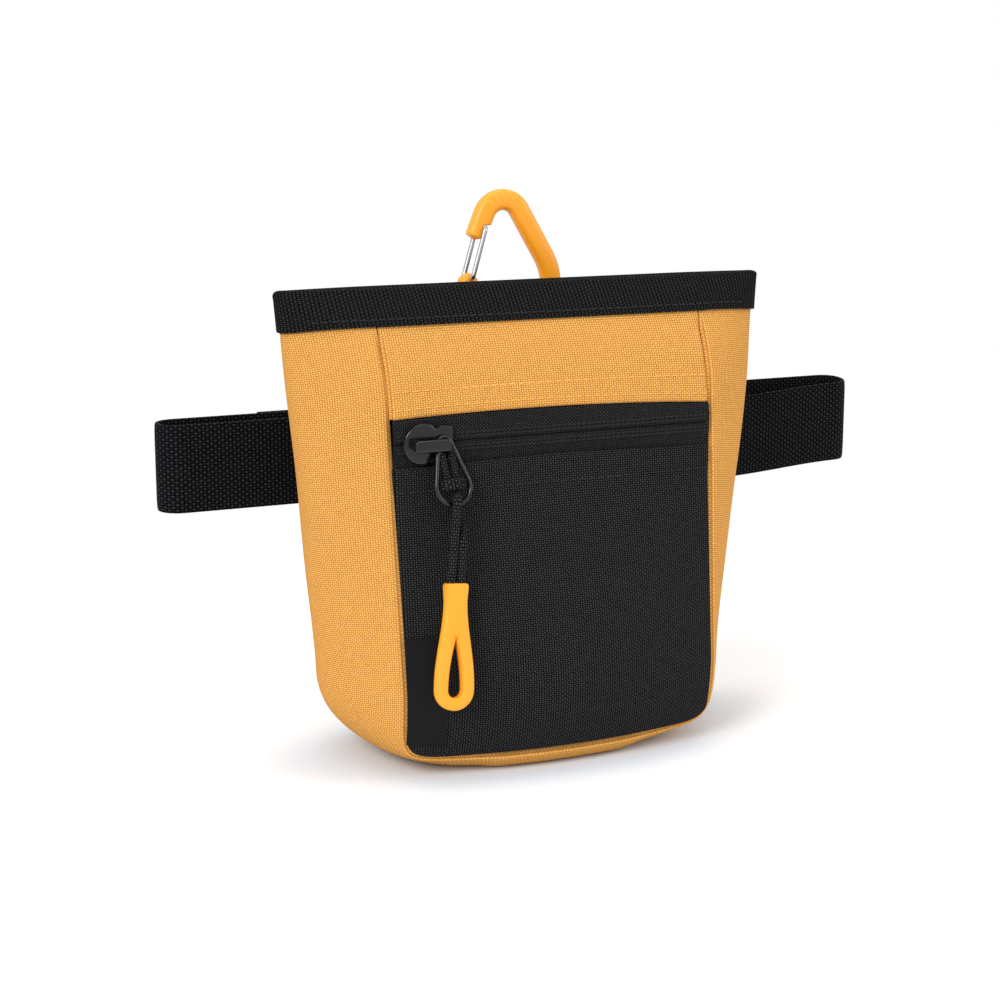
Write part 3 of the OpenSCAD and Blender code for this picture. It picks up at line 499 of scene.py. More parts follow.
# Grey dots of the braid on black, a painted highlight on the raised strands
braid = clothMaterial("black braided cord", "#040404", "#404042", weave["cord"], 0.35, 0.7, 0.3)
# Even black tape with little shine
labelTape = solidMaterial("black satin label", "#131315", 0.6, shine=0.1)
print("materials ready")

# Where the mouth folds
fold = {"y": -19.6, "from": 97.5, "to": 107.0}


# The share of the flap's turn that a point takes, by height and by place round the mouth
def mouthShare(z, side, start=fold["from"], end=fold["to"]):
    return smooth((z - start) / (end - start)) * side


# A piece on the mouth, baked where it stands, and the nodes it stands for, which it hides; the material slot
# is not used
def bendWithMouth(o, shares, slot, *nodes):
    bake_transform(o)
    if nodes:
        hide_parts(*nodes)


# A shell has two skins, and both take the same shares
def bendShell(o, shares, slot, *nodes):
    bendWithMouth(o, np.concatenate([shares.ravel()] * 2), slot, *nodes)


# Normals of a grid: the cross product of its two slopes, turned away from a point inside
def normals(p, inside):
    n = unit(np.cross(np.gradient(p, axis=0), np.gradient(p, axis=1)))
    facing = np.sum(n * (p - np.asarray(inside)), -1, keepdims=True)
    return n * np.sign(np.mean(facing) + 1e-9)


# Outward normal of the front or back wall, from its slope in x and z
def wallNormal(wall, x, z):
    e = 0.05
    dx = (wall(x + e, z)[..., 1] - wall(x - e, z)[..., 1]) / (2 * e)
    dz = (wall(x, z + e)[..., 1] - wall(x, z - e)[..., 1]) / (2 * e)
    out = 1.0 if wall is backAt else -1.0
    return unit(points(-out * dx, out + 0 * dx, -out * dz))


# A piece's own slow waves over its map
def slowWaves(uv, piece):
    return piece["waves"] * cloudy(uv[..., 0], uv[..., 1], piece["seed"], piece["wave"])


middle = (0.0, 1.0, 60.0)
seamDip = {"deep": 1.8, "wide": 0.75, "fadeFrom": 119.0, "fadeTo": 124.0}


# The rim binding presses the cloth flat: 0 below it, 1 inside it
def pressedFlat(z):
    return smooth((z - seamDip["fadeFrom"]) / (seamDip["fadeTo"] - seamDip["fadeFrom"]))


# A seam's dent, a bell curve of the distance to it; it fades out under the binding
def dip(d, z):
    return seamDip["deep"] * np.exp(-(d / seamDip["wide"]) ** 2) * (1 - pressedFlat(z))


# Cloth lifted off its wall, moved by its slow waves and drawn in along its seams
def sewn(p, n, toSeam, uv, piece, calm, lift=0.0):
    waves = calm * smooth(toSeam / piece["calmSeam"]) * slowWaves(uv, piece)
    return p + n * (lift + waves - dip(toSeam, p[..., 2]))[..., None]


# Waves die out below the rim
def calmAtRim(p, piece):
    return smooth((piece["top"] - p[..., 2]) / piece["calmRim"])


# Gusset: one strip down the left side, under the base and up the right side, dented along its seams
gusset = {"top": 131.8, "rows": 241, "across": 73, "thick": 1.3, "rimThick": 0.15, "waves": 0.45,
          "wave": 42.0, "seed": 4, "calmFrom": 3.0, "calmFloor": 15.0, "calmSeam": 12.0, "calmRim": 20.0}
topShare = lerp(body["sideShare"], 1, sideRise(gusset["top"]))
downAndUp = np.linspace(-topShare, topShare, gusset["rows"])
s, w = np.meshgrid(downAndUp, fineEnds(gusset["across"]), indexing="ij")
p = gussetAt(s, w)
run = runAlong(p, 1)
fromLeft = runAlong(p, 0)
fromRight = np.mean(fromLeft[-1]) - (fromLeft[-1] - fromLeft)
along = lerp(fromLeft, fromRight, smooth(s / body["footShare"] / 2 + 0.5))
n = normals(p, middle)
toSeam = np.minimum(run, run[:, -1:] - run)
calm = smooth((p[..., 2] - gusset["calmFrom"]) / gusset["calmFloor"]) * calmAtRim(p, gusset)
p = sewn(p, n, toSeam, points(along, run), gusset, calm)
p[..., 2] = np.maximum(p[..., 2], 0)
inner = p - n * lerp(gusset["thick"], gusset["rimThick"], pressedFlat(p[..., 2]))[..., None]
gussetPiece = shell("gusset", p, inner, points(run, along), [yellowWeave, liningCloth])
bendShell(gussetPiece, mouthShare(p[..., 2], 1 - smooth(w)), "yellow_weave", "gusset_strip",
          "gusset_rear_left", "gusset_rear_right", "gusset_front_left", "gusset_front_right")
print("gusset ready")


# Lower edge of a panel: level, then up into the side seams on a squarish round
def lowerEdge(x, half):
    r = body["seamR"]
    square = body["seamSquare"]
    over = np.clip(np.abs(x) - (half - r), 0, r)
    return body["panelZ"] + r - np.clip(r ** square - over ** square, 0, None) ** (1 / square)


# Panel between the seams: u across, v from its top edge down to its lower edge, finer towards all edges
def panelGrid(piece, wall, gap=body["seamGap"]):
    u = lerp(np.linspace(-1, 1, piece["columns"]), 2 * fineEnds(piece["columns"]) - 1, 0.65)[None, :]
    v = lerp(np.linspace(0, 1, piece["rows"]), fineEnds(piece["rows"]), 0.7)[:, None]
    half = seamX(body["sideZ"]) - gap
    bottom = np.maximum(piece["low"], lowerEdge(u * half, half))
    z = lerp(piece["top"], bottom, v)
    x = u * (seamX(z) - gap)
    toEdge = (1 - np.abs(u)) * half + 0 * z
    if piece["low"] <= body["panelZ"]:
        toEdge = np.minimum(toEdge, z - bottom)
    return wall(x, z), wallNormal(wall, x, z), toEdge, points(x, z)


# The cloth's folded edge turns over in a small round
def foldedEdge(d, radius=0.4):
    return radius * (1 - smooth(d / (1.5 * radius)))


# Pocket panel: its folded upper edge rises in the middle and stands a little off the zip
pocket = {"top": 86.8, "low": body["panelZ"], "columns": 121, "rows": 101, "thick": 1.2, "floorZ": 0.2,
          "lift": 0.55, "liftOver": 10.0, "arch": 1.0, "archHalf": 46.0, "archDeep": 20.0,
          "waves": 0.4, "wave": 46.0, "seed": 9, "calmSeam": 10.0, "calmEdge": 12.0}
p, n, toEdge, uv = panelGrid(pocket, frontAt)
fromTop = pocket["top"] - p[..., 2]
arch = pocket["arch"] * smooth(1 - np.abs(p[..., 0]) / pocket["archHalf"])
p[..., 2] += arch * smooth(1 - fromTop / pocket["archDeep"])
lift = pocket["lift"] * smooth(1 - fromTop / pocket["liftOver"]) - foldedEdge(fromTop)
p = sewn(p, n, toEdge, uv, pocket, smooth(fromTop / pocket["calmEdge"]), lift)
p[..., 2] = np.maximum(p[..., 2], pocket["floorZ"])
pocketPanel = shell("pocketPanel", p, p - n * pocket["thick"], uv, [blackWeave, liningCloth])
settle(pocketPanel, "pouch", "black_weave", "pocket_panel")

# Pocket backing: follows the pocket and the zip at a distance, and comes near the panel at its seams
backing = {"top": 98.2, "low": 6.0, "columns": 61, "rows": 61, "gap": 0.8, "atSeam": 1.6, "deep": 4.9,
           "thick": 0.5}
p, n, toEdge, uv = panelGrid(backing, frontAt, backing["gap"])
depth = lerp(backing["atSeam"], backing["deep"], smooth((toEdge - 0.2) / 2.5))[..., None]
behind = p - n * (depth + backing["thick"])
pocketBacking = shell("pocketBacking", p - n * depth, behind, uv, [liningCloth, liningCloth])
settle(pocketBacking, "pouch", "lining", "pocket_backing")

# Upper panel: from its folded edge over the zip to the hem at the rim; its inner face is the lining, and the
# magnet strip is in the hem
upper = {"top": 131.9, "low": 100.0, "columns": 121, "rows": 61, "thick": 1.2, "hemThick": 1.5, "hemZ": 112.0,
         "hemOver": 8.0, "bendTo": 105.0, "arch": 1.4, "drop": 0.5, "archHigh": 25.0,
         "lift": 0.5, "liftOver": 8.0, "waves": 0.3, "wave": 40.0, "seed": 15,
         "calmSeam": 10.0, "calmEdge": 10.0, "calmRim": 12.0}


# The edge over the zip is sewn in a shallow arch that ends lower at the right
def archAt(x):
    share = np.clip(x / seamX(upper["low"]), -1, 1)
    return upper["arch"] * (1 - share * share) - upper["drop"] * (1 + share)


p, n, toEdge, uv = panelGrid(upper, frontAt)
fromLow = p[..., 2] - upper["low"]
p[..., 2] += archAt(p[..., 0]) * smooth(1 - fromLow / upper["archHigh"])
lift = upper["lift"] * smooth(1 - fromLow / upper["liftOver"]) - foldedEdge(fromLow)
p = sewn(p, n, toEdge, uv, upper, smooth(fromLow / upper["calmEdge"]) * calmAtRim(p, upper), lift)
inHem = smooth((p[..., 2] - upper["hemZ"]) / upper["hemOver"])
thick = lerp(upper["thick"], upper["hemThick"], inHem)[..., None]
upperPanel = shell("upperPanel", p, p - n * thick, uv, [yellowWeave, liningCloth])
bendShell(upperPanel, mouthShare(p[..., 2], 1.0, upper["low"], upper["bendTo"]), "yellow_weave",
          "front_upper_panel", "front_upper_lining", "front_magnet_strip")

# Back panel: one piece from base to rim; its inner face is the lining with the rear magnet strip
back = {"top": 131.9, "low": body["panelZ"], "columns": 101, "rows": 121, "thick": 2.3, "rimThick": 1.4,
        "floorZ": 0.2, "waves": 0.25, "wave": 50.0, "seed": 21, "calmSeam": 10.0, "calmRim": 12.0}
p, n, toEdge, uv = panelGrid(back, backAt)
p = sewn(p, n, toEdge, uv, back, calmAtRim(p, back))
p[..., 2] = np.maximum(p[..., 2], back["floorZ"])
thick = lerp(back["thick"], back["rimThick"], pressedFlat(p[..., 2]))[..., None]
backPanel = shell("backPanel", p, p - n * thick, uv, [yellowWeave, liningCloth])
settle(backPanel, "pouch", "yellow_weave", "back_panel", "back_lining", "rear_magnet_strip")
print("panels ready")

# Rim binding: a tape folded over the rim, once round the whole mouth
binding = {"low": 122.4, "rise": 1.8, "top": 133.0, "stand": 0.95, "hem": 2.5, "thick": 0.7, "crown": 0.75,
           "corner": 2.0, "levels": 13, "panelSteps": 60, "endSteps": 26}


# One line along the front or rear wall, k from the tape's lower edge to the rim; the lower edge dips at the
# rim's two side ends
def wallLine(k, rear):
    end = 0.5 * (1 - (1 - np.linspace(0, 1, binding["endSteps"])) ** 1.6)
    endZ = lerp(binding["low"] + binding["rise"] * smooth(1 - 2 * end), binding["top"], k)
    faceZ = lerp(binding["low"] + binding["rise"], binding["top"], k)
    side = lerp(body["sideShare"], 1, sideRise(endZ))
    right = gussetAt(side, 1 - end if rear else end)
    left = right * [-1, 1, 1]
    x = np.linspace(-1, 1, binding["panelSteps"] + 2)[1:-1] * seamX(faceZ)
    face = (backAt if rear else frontAt)(x, np.full(len(x), faceZ))
    return np.concatenate([left[::-1], face, right]), np.concatenate([end[::-1], 0 * x, end])


# The front line and the rear line once round the mouth, and the share of the flap's turn at each point
def mouthLoop(k):
    front, frontEnd = wallLine(k, False)
    rear, rearEnd = wallLine(k, True)
    return np.concatenate([front, rear[::-1]]), np.concatenate([1 - smooth(frontEnd), smooth(rearEnd[::-1])])


loops = [mouthLoop(k)[0] for k in np.linspace(0, 1, binding["levels"])]
loopShare = mouthLoop(0)[1]
halfway = loops[len(loops) // 2]
ahead = np.roll(halfway, -1, 0) - np.roll(halfway, 1, 0)
outward = unit(points(-ahead[:, 1], ahead[:, 0], 0))
frontMiddle = binding["endSteps"] + binding["panelSteps"] // 2
outward = outward * np.sign(-outward[frontMiddle, 1])
for _ in range(2):
    outward = unit(outward + 0.5 * (np.roll(outward, 1, 0) + np.roll(outward, -1, 0)))
room = np.clip(np.abs(halfway[:, 1]) * 0.85, 0.05, binding["hem"])[:, None]
outerPts = [q + outward * binding["stand"] for q in loops]
innerPts = [q - outward * room for q in loops]
cap = []
for k in np.linspace(0, math.pi, 7)[1:-1]:
    across = lerp(outerPts[-1], innerPts[-1], 0.5 - 0.5 * math.cos(k))
    cap.append(across + [0, 0, binding["crown"] * math.sin(k)])
tapePts = np.stack([*outerPts, *cap, *innerPts[::-1]], 1)
insidePts = np.stack([*[q + outward * (binding["stand"] - binding["thick"]) for q in loops],
                      *[c - [0, 0, binding["crown"] + 0.05] for c in cap],
                      *[q - outward * (room - 0.04) for q in loops[::-1]]], 1)
fromEnd = np.clip(body["mouthHalf"] + binding["stand"] - np.abs(tapePts[..., 0]), 0, binding["corner"])
cut = binding["corner"] - np.sqrt(binding["corner"] ** 2 - (binding["corner"] - fromEnd) ** 2)
highest = binding["top"] + binding["crown"] - cut
tapePts[..., 2] = np.clip(tapePts[..., 2], binding["low"] + 0.6 * cut, highest)
insidePts[..., 2] = np.minimum(insidePts[..., 2], tapePts[..., 2] - 0.02)
tapeUv = points(lengths(tapePts[:, 0])[:, None], runAlong(tapePts, 1))
rimBinding = shell("rimBinding", tapePts, insidePts, tapeUv, [bindingTape, bindingTape], True)
bendShell(rimBinding, np.repeat(loopShare[:, None], tapePts.shape[1], 1), "black_tape", "front_rim_binding",
          "rear_rim_binding")

# Thread along the binding, front and rear, that ends short of the rim's two side ends
rimThread = {"level": 0.2, "short": 7.0}
seamLine = mouthLoop(rimThread["level"])[0] + outward * (binding["stand"] + 0.02)
for name, side in (("rimThreadFront", -1), ("rimThreadRear", 1)):
    kept = (np.abs(seamLine[:, 0]) < body["mouthHalf"] - rimThread["short"]) & (seamLine[:, 1] * side > 0)
    row = stitches(name, seamLine[kept], outward[kept], "rim", blackThread)
    threadAt = np.zeros(3 * len(row.data.vertices))
    row.data.vertices.foreach_get("co", threadAt)
    away = threadAt.reshape(-1, 1, 3) / metre - seamLine
    bendWithMouth(row, loopShare[np.argmin(np.sum(away ** 2, -1), 1)], "black_tape")
print("rim ready")

# Sewing on the panels: two rows above the zip and one under the pocket's edge, each with its height, its
# share of the arch and its stand off the wall
panelThread = {"half": 47.6, "count": 120, "out": (0.0, -1.0, 0.1)}
rowX = np.linspace(-panelThread["half"], panelThread["half"], panelThread["count"])
for name, z, arched, off in (("threadLow", 102.4, 1.0, 0.4), ("threadHigh", 107.2, 0.5, 0.05),
                             ("pocketThread", 80.4, 0.0, 0.2)):
    onMouth = z > upper["low"]
    line = frontAt(rowX, z + arched * archAt(rowX)) + [0, -off, 0]
    row = stitches(name, line, panelThread["out"], "panel", yellowThread if onMouth else blackThread)
    if onMouth:
        share = mouthShare(z, 1.0, upper["low"], upper["bendTo"])
        bendWithMouth(row, np.full(len(row.data.vertices), share), "yellow_weave")
    else:
        settle(row, "pouch", "black_weave")

# Zip: two tapes that meet edge to edge, the coil behind them
zipper = {"z": 93.3, "y": -20.8, "half": 48.0, "slit": 0.08, "tape": 0.6, "farHigh": 102.2, "farLow": 84.6,
          "slitDeep": 0.35, "slitWide": 0.6, "step": 0.25, "stepFrom": 2.6, "tuck": 1.1, "threadHalf": 47.2}
coilSize = {"half": 44.5, "pitch": 1.2, "points": 900, "y": -19.2, "away": 1.2, "deep": 0.65, "high": 0.75,
            "r": 0.3}
zipX = np.linspace(-zipper["half"], zipper["half"], 97)[:, None]
for name, node, way, far in (("zipTapeUpper", "zip_tape_upper", 1, zipper["farHigh"]),
                             ("zipTapeLower", "zip_tape_lower", -1, zipper["farLow"])):
    edge = zipper["z"] + way * zipper["slit"]
    z = lerp(edge, far, np.linspace(0, 1, 25) ** 1.5)[None, :]
    fromSlit = np.abs(z - edge)
    underEdge = z - archAt(zipX) - upper["low"]
    slitDeep = zipper["slitDeep"] * smooth((zipper["half"] - np.abs(zipX)) / 2)
    y = zipper["y"] + slitDeep * np.clip(1 - fromSlit / zipper["slitWide"], 0, 1) ** 2
    y = y + zipper["step"] * smooth((fromSlit - zipper["stepFrom"]) / 0.8)
    y = y + zipper["tuck"] * smooth(underEdge / 0.8 + 1)
    front = points(zipX * (1 - 0.03 * smooth(underEdge / 0.5)), y, z)
    tape = shell(name, front, front + [0, zipper["tape"], 0], front[..., [0, 2]], [zipTape, zipTape])
    settle(tape, "pouch", "black_tape", node)
    coilX = np.linspace(-coilSize["half"], coilSize["half"], coilSize["points"])
    spin = coilX * fullTurn / coilSize["pitch"]
    coilPath = points(coilX, coilSize["y"] + coilSize["deep"] * np.sin(spin),
                      edge + way * coilSize["away"] + coilSize["high"] * np.cos(spin))
    coil = skin(name.replace("Tape", "Coil"), rings(coilPath, coilSize["r"], None, 6), [nylonCoil])
    settle(coil, "pouch", "zip_coil", node.replace("tape", "coil"))
    for k, away in enumerate((1.1, 2.2)):
        start = np.array([-zipper["threadHalf"], zipper["y"] - 0.02, edge + way * away])
        end = start * [-1, 1, 1]
        row = straightRow(name + "Thread" + str(k), start, end, (0, -1, 0), "zip", blackThread)
        settle(row, "pouch", "black_tape")
print("zip ready")

# Slider: a shield-shaped plate with a notch in each long side, a plate behind the tapes, and a bar on a post
# and a pillar
slider = {"x": -38.5, "long": 14.2, "wide": 5.6, "narrow": 4.6, "tailR": 1.0, "front": -21.16, "plate": 1.3,
          "notchX": 2.2, "notchWide": 0.9, "notchDeep": 1.1, "rear": -16.8, "rearPlate": 1.0,
          "rearShare": 0.72, "barLong": 10.4, "barHigh": 3.4, "barR": 0.9, "barY": -25.05, "barThick": 1.6,
          "post": (0.8, 1.5, 0.5), "postX": -42.6, "pillarR": 1.0, "pillarX": -34.5, "postY": -21.6,
          "postLong": 3.6, "neckHalf": 2.0, "neckR": 0.3, "neckX": -40.5, "neckY": -17.2, "neckLong": 4.4}


# Outline round a few circles, each given by its centre and radius: in every direction the furthest one counts
def hullOf(circles, count):
    turn = roundTurn(count)
    ways = np.stack([np.cos(turn), np.sin(turn)], -1)
    reach = np.stack([ways @ np.array(c[:2]) + c[2] for c in circles])
    best = np.array(circles, float)[np.argmax(reach, 0)]
    return best[:, :2] + best[:, 2:] * ways


# A rounded rectangle by its half sizes and corner radius
def roundedBox(halfX, halfY, r, count):
    return hullOf([(a * (halfX - r), b * (halfY - r), r) for a in (-1, 1) for b in (-1, 1)], count)


tailX = slider["long"] / 2 - slider["tailR"]
tailY = slider["narrow"] - slider["tailR"]
shield = hullOf([(slider["wide"] - slider["long"] / 2, 0, slider["wide"]), (tailX, tailY, slider["tailR"]),
                 (tailX, -tailY, slider["tailR"])], 96)
shield = evenly(np.concatenate([shield, shield[:1]]), 0.3)[:-1]
fromNotch = (shield[:, 0] - slider["notchX"]) / slider["notchWide"]
shield[:, 1] -= np.sign(shield[:, 1]) * slider["notchDeep"] * np.exp(-fromNotch ** 2)
bar = roundedBox(slider["barLong"] / 2, slider["barHigh"] / 2, slider["barR"], 48)
post = roundedBox(*slider["post"], 32)
pillar = hullOf([(0, 0, slider["pillarR"])], 32)
neck = hullOf([(side * slider["neckHalf"], 0, slider["neckR"]) for side in (-1, 1)], 24)
# Each piece has its outline, the keys of its thickness, x and y, the radius of its edge and its node
for name, line, thick, x, y, edge, nodes in (
        ("sliderFront", shield, "plate", "x", "front", 0.5, ["zip_slider"]),
        ("sliderRear", shield * slider["rearShare"], "rearPlate", "x", "rear", 0.3, []),
        ("sliderBar", bar, "barThick", "x", "barY", 0.6, ["slider_bail"]),
        ("barPost", post, "postLong", "postX", "postY", 0.1, []),
        ("barPillar", pillar, "postLong", "pillarX", "postY", 0.1, []),
        ("sliderNeck", neck, "neckLong", "neckX", "neckY", 0.05, [])):
    place = (slider[x], slider[y], zipper["z"])
    settle(plate(name, line, slider[thick], edge, place, [gunmetal]), "slider", "gunmetal", *nodes)

# Wire loop: a neck round the pillar, straight legs and a round foot
wire = {"head": (-34.5, -23.71, 93.3), "foot": (-32.7, -28.18, 77.3), "neck": 1.85, "half": 4.85, "r": 0.65}
head = np.array(wire["head"])
foot = np.array(wire["foot"])
down = unit(foot - head)
aside = unit(np.cross([0.0, 1.0, 0.0], down))
loopFace = np.cross(aside, down)
footCentre = foot - wire["half"] * down
lean = math.asin((wire["half"] - wire["neck"]) / np.linalg.norm(footCentre - head))
neckTurn = np.linspace(lean - quarter, quarter - lean, 24)
footTurn = np.linspace(quarter - lean, 3 * quarter + lean, 44)
loopArcs = ((head, wire["neck"], neckTurn), (footCentre, wire["half"], footTurn))
loopPath = np.concatenate([centre + r * (np.sin(t)[:, None] * aside - np.cos(t)[:, None] * down)
                           for centre, r, t in loopArcs])
loopPath = evenly(np.concatenate([loopPath, loopPath[:1]]), 0.4)[:-1]
pullWire = skin("pullWire", rings(loopPath, wire["r"], loopFace, 14, True), [gunmetal], None, True)
settle(pullWire, "pull_ring", "gunmetal", "pull_wire")

# Cord: up from the tab, over the foot of the wire loop and down again beside itself
cord = {"d": 2.6, "top": (-34.9, -32.26, 56.8), "bend": 2.35, "strand": 1.4, "drawn": 0.7, "squash": 0.97,
        "points": 160, "ring": 16}
cordTop = np.array(cord["top"])


# A round braided cord along a path
def braidAlong(name, path, r, count, side=None, closed=False):
    around = np.linspace(0, fullTurn * r, count, endpoint=False)
    return skin(name, rings(path, r, side, count, closed), [braid], skinMap(path, around), closed)


# A strand between the tab and the foot of the loop: a straight line that draws in as it climbs
def strandAt(side, t):
    drawnIn = 1 - (1 - cord["drawn"]) * t
    return lerp(cordTop, foot - [0, cord["bend"], 0], t) + [side * cord["strand"] * drawnIn, 0, 0]


arcTurn = np.linspace(0, math.pi, 13)
bend = points(foot[0] + np.linspace(-cord["drawn"], cord["drawn"], len(arcTurn)) * cord["strand"],
              foot[1] - cord["bend"] * np.cos(arcTurn),
              foot[2] + cord["squash"] * cord["bend"] * np.sin(arcTurn))
cordPts = np.concatenate([[cordTop + [-cord["strand"], -0.2, -3.0], cordTop + [-cord["strand"], 0, 0.4]],
                          [strandAt(-1, k) for k in (0.2, 0.4, 0.6, 0.8)], bend,
                          [foot + [cord["strand"], 0.65 * cord["bend"], -1.2 * cord["bend"]]],
                          [foot + [cord["strand"], -0.1 * cord["bend"], -2.5 * cord["bend"]]],
                          [strandAt(1, k) for k in (0.5, 0.35, 0.2)],
                          [cordTop + [cord["strand"], 0, 0.4], cordTop + [cord["strand"], -0.2, -3.0]]])
cordPath = flow(cordPts, cord["points"])
pullCord = braidAlong("pullCord", cordPath, cord["d"] / 2, cord["ring"])
settle(pullCord, "pull_end", "cord", "pull_cord")

# Knotted head of the cord inside the wire loop: two strands up to the bar and two turns round them
knot = {"strand": 1.35, "r": 0.95, "low": 5.0, "high": 14.2, "turnWide": 2.6, "turnDeep": 1.7, "turnR": 0.9,
        "turns": (4.9, 6.3), "ring": 14}
upStrand = np.linspace(knot["low"], knot["high"], 30)[:, None]
for k, side in enumerate((-1, 1)):
    strand = foot + side * knot["strand"] * aside - upStrand * down
    settle(braidAlong("cordHead" + str(k), strand, knot["r"], knot["ring"]), "pull_ring", "cord")
knotTurn = roundTurn(48)[:, None]
for k, v in enumerate(knot["turns"]):
    wound = knot["turnWide"] * np.cos(knotTurn) * aside + knot["turnDeep"] * np.sin(knotTurn) * loopFace
    turned = foot - v * down + wound
    piece = braidAlong("cordHead" + str(k + 2), turned, knot["turnR"], knot["ring"], down, True)
    settle(piece, "pull_ring", "cord")

# Tab: sections that reach from the teardrop hole out to the tab's outline, with rounded edges
tab = {"foot": (-37.8, -37.36, 22.8), "topW": 6.3, "w": 11.1, "thick": 3.4, "hole": 2.0, "holeTop": 0.44,
       "widenFrom": 0.14, "widenOver": 0.66, "topR": 0.8, "topSquare": 0.12, "square": 0.55}
tabFoot = np.array(tab["foot"])
tabDown = unit(tabFoot - cordTop)
tabSide = unit(np.cross([0.0, 1.0, 0.0], tabDown))
tabFace = np.cross(tabSide, tabDown)
tabLong = float(np.linalg.norm(tabFoot - cordTop))
endAt = tabLong - tab["w"] / 2
q = np.linspace(0, 1, 60)
widened = smooth((q * endAt / tabLong - tab["widenFrom"]) / tab["widenOver"])
sideLine = points(lerp(tab["topW"], tab["w"], widened) / 2, q * endAt)
topTurn = np.linspace(quarter, 0, 8)
topLine = points(sideLine[0, 0] - tab["topR"] + tab["topR"] * np.cos(topTurn),
                 tab["topR"] * (1 - np.sin(topTurn)))
endTurn = np.linspace(0, quarter, 20)
endLine = points(tab["w"] / 2 * np.cos(endTurn), endAt + tab["w"] / 2 * np.sin(endTurn))
rightSide = evenly(np.concatenate([[[0, 0]], topLine, sideLine[2:], endLine]), 0.25)
holeTop = tab["holeTop"] * tabLong
h = np.linspace(0, 1, 40)
holeSide = points(tab["hole"] * np.sin(h * quarter) ** 0.9, lerp(holeTop, endAt, h))
lowTurn = np.linspace(0, quarter, 16)[1:]
holeLow = points(tab["hole"] * np.cos(lowTurn), endAt + tab["hole"] * np.sin(lowTurn))
holeRight = np.concatenate([holeSide, holeLow])
reachFrom = holeTop * 0.55
reach = np.clip((rightSide[:, 1] - reachFrom) / (tabLong - reachFrom), 0, 1)
holeAt = lengths(holeRight)
holeMatch = pointsAt(reach * holeAt[-1], holeAt, holeRight)
outerLine = np.concatenate([rightSide, rightSide[-2:0:-1] * [-1, 1]])
innerLine = np.concatenate([holeMatch, holeMatch[-2:0:-1] * [-1, 1]])
c, s = section(20, lerp(tab["topSquare"], tab["square"], smooth((outerLine[:, 1] - 0.3) / 4))[:, None])
flat = lerp(innerLine[:, None], outerLine[:, None], (0.5 + 0.5 * c)[..., None])
tabPts = cordTop + flat[..., :1] * tabSide + flat[..., 1:] * tabDown
tabPts = tabPts + (tab["thick"] / 2 * s)[..., None] * tabFace
pullTab = skin("pullTab", tabPts, [orangeRubber], None, True, 70)
settle(pullTab, "pull_end", "orange_rubber", "pull_tab")
print("pull ready")

# Side label: a short bare tape caught in the left seam
label = {"low": 11.0, "high": 41.0, "wide": 10.4, "fromSeam": 0.6, "stand": 0.55, "crown": 0.3, "thick": 0.5}
u, v = np.meshgrid(np.linspace(0, 1, 13), np.linspace(0, 1, 33), indexing="ij")
labelZ = lerp(label["low"], label["high"], v)
labelX = -seamX(labelZ) + label["fromSeam"] + u * label["wide"]
n = wallNormal(frontAt, labelX, labelZ)
labelFace = frontAt(labelX, labelZ) + n * (label["stand"] + label["crown"] * np.sin(u * quarter))[..., None]
labelBack = labelFace - n * label["thick"]
sideLabel = shell("sideLabel", labelFace, labelBack, points(labelX, labelZ), [labelTape, labelTape])
settle(sideLabel, "pouch", "black_tape", "side_label")

# Belt: a plan line for its layers, folds and wraps round the buckle bars
belt = {"w": 25.0, "t": 1.6, "z": 82.7, "front": 22.35, "r": 5.5, "left": -94.7, "right": 117.2,
        "barY": 36.55, "socketBar": -28.0, "plugBar": 36.0, "wrap": 3.2, "hemEnd": -69.0, "tailEnd": 80.0,
        "droop": 3.4, "droopFrom": 35.0, "droopOver": 35.0, "levelFrom": 75.0, "levelOver": 45.0,
        "level": 0.75}
backLayer = belt["front"] + 2 * belt["r"]
tailLayer = backLayer + belt["t"] + 0.4
foldMid = belt["front"] + belt["r"]


# Points on an arc round a centre, between two angles in degrees
def arcPts(cx, cy, r, start, end, count):
    a = np.radians(np.linspace(start, end, count))
    return points(cx + r * np.cos(a), cy + r * np.sin(a))


beltPlan = np.concatenate([[[belt["hemEnd"], tailLayer], [belt["socketBar"] - 20, tailLayer],
                            [belt["socketBar"] - 9, belt["barY"] + 1.8]],
                           arcPts(belt["socketBar"], belt["barY"], belt["wrap"], 90, -90, 13),
                           [[belt["socketBar"] - 9, backLayer], [belt["left"] + 1, backLayer]],
                           arcPts(belt["left"], foldMid, belt["r"], 90, 270, 19), [[0, belt["front"]]],
                           arcPts(belt["right"], foldMid, belt["r"], -90, 90, 19)])
returnPlan = np.concatenate([[[belt["right"] - 0.4, backLayer], [belt["plugBar"] + 9, backLayer]],
                             arcPts(belt["plugBar"], belt["barY"], belt["wrap"], -90, -270, 13),
                             [[belt["plugBar"] + 4.4, belt["barY"] + 1.5], [belt["plugBar"] + 7.2, tailLayer],
                              [belt["tailEnd"], tailLayer]]])


# The front layer hangs a little lower to the right of the pouch and is nearly level again at the fold
def droopAt(plan):
    inFront = smooth((backLayer - plan[:, 1]) / (2 * belt["r"]))
    lowered = smooth((plan[:, 0] - belt["droopFrom"]) / belt["droopOver"])
    levelAgain = 1 - belt["level"] * smooth((plan[:, 0] - belt["levelFrom"]) / belt["levelOver"])
    return belt["droop"] * inFront * lowered * levelAgain


# A strap that stands upright along a plan line, lowered by its droop
def beltStrap(name, plan):
    plan = evenly(plan, 0.9)
    line = np.column_stack([plan, belt["z"] - droopAt(plan)])
    return strip(name, line, belt["t"], belt["w"], np.array([0.0, 0.0, 1.0]), webbing)


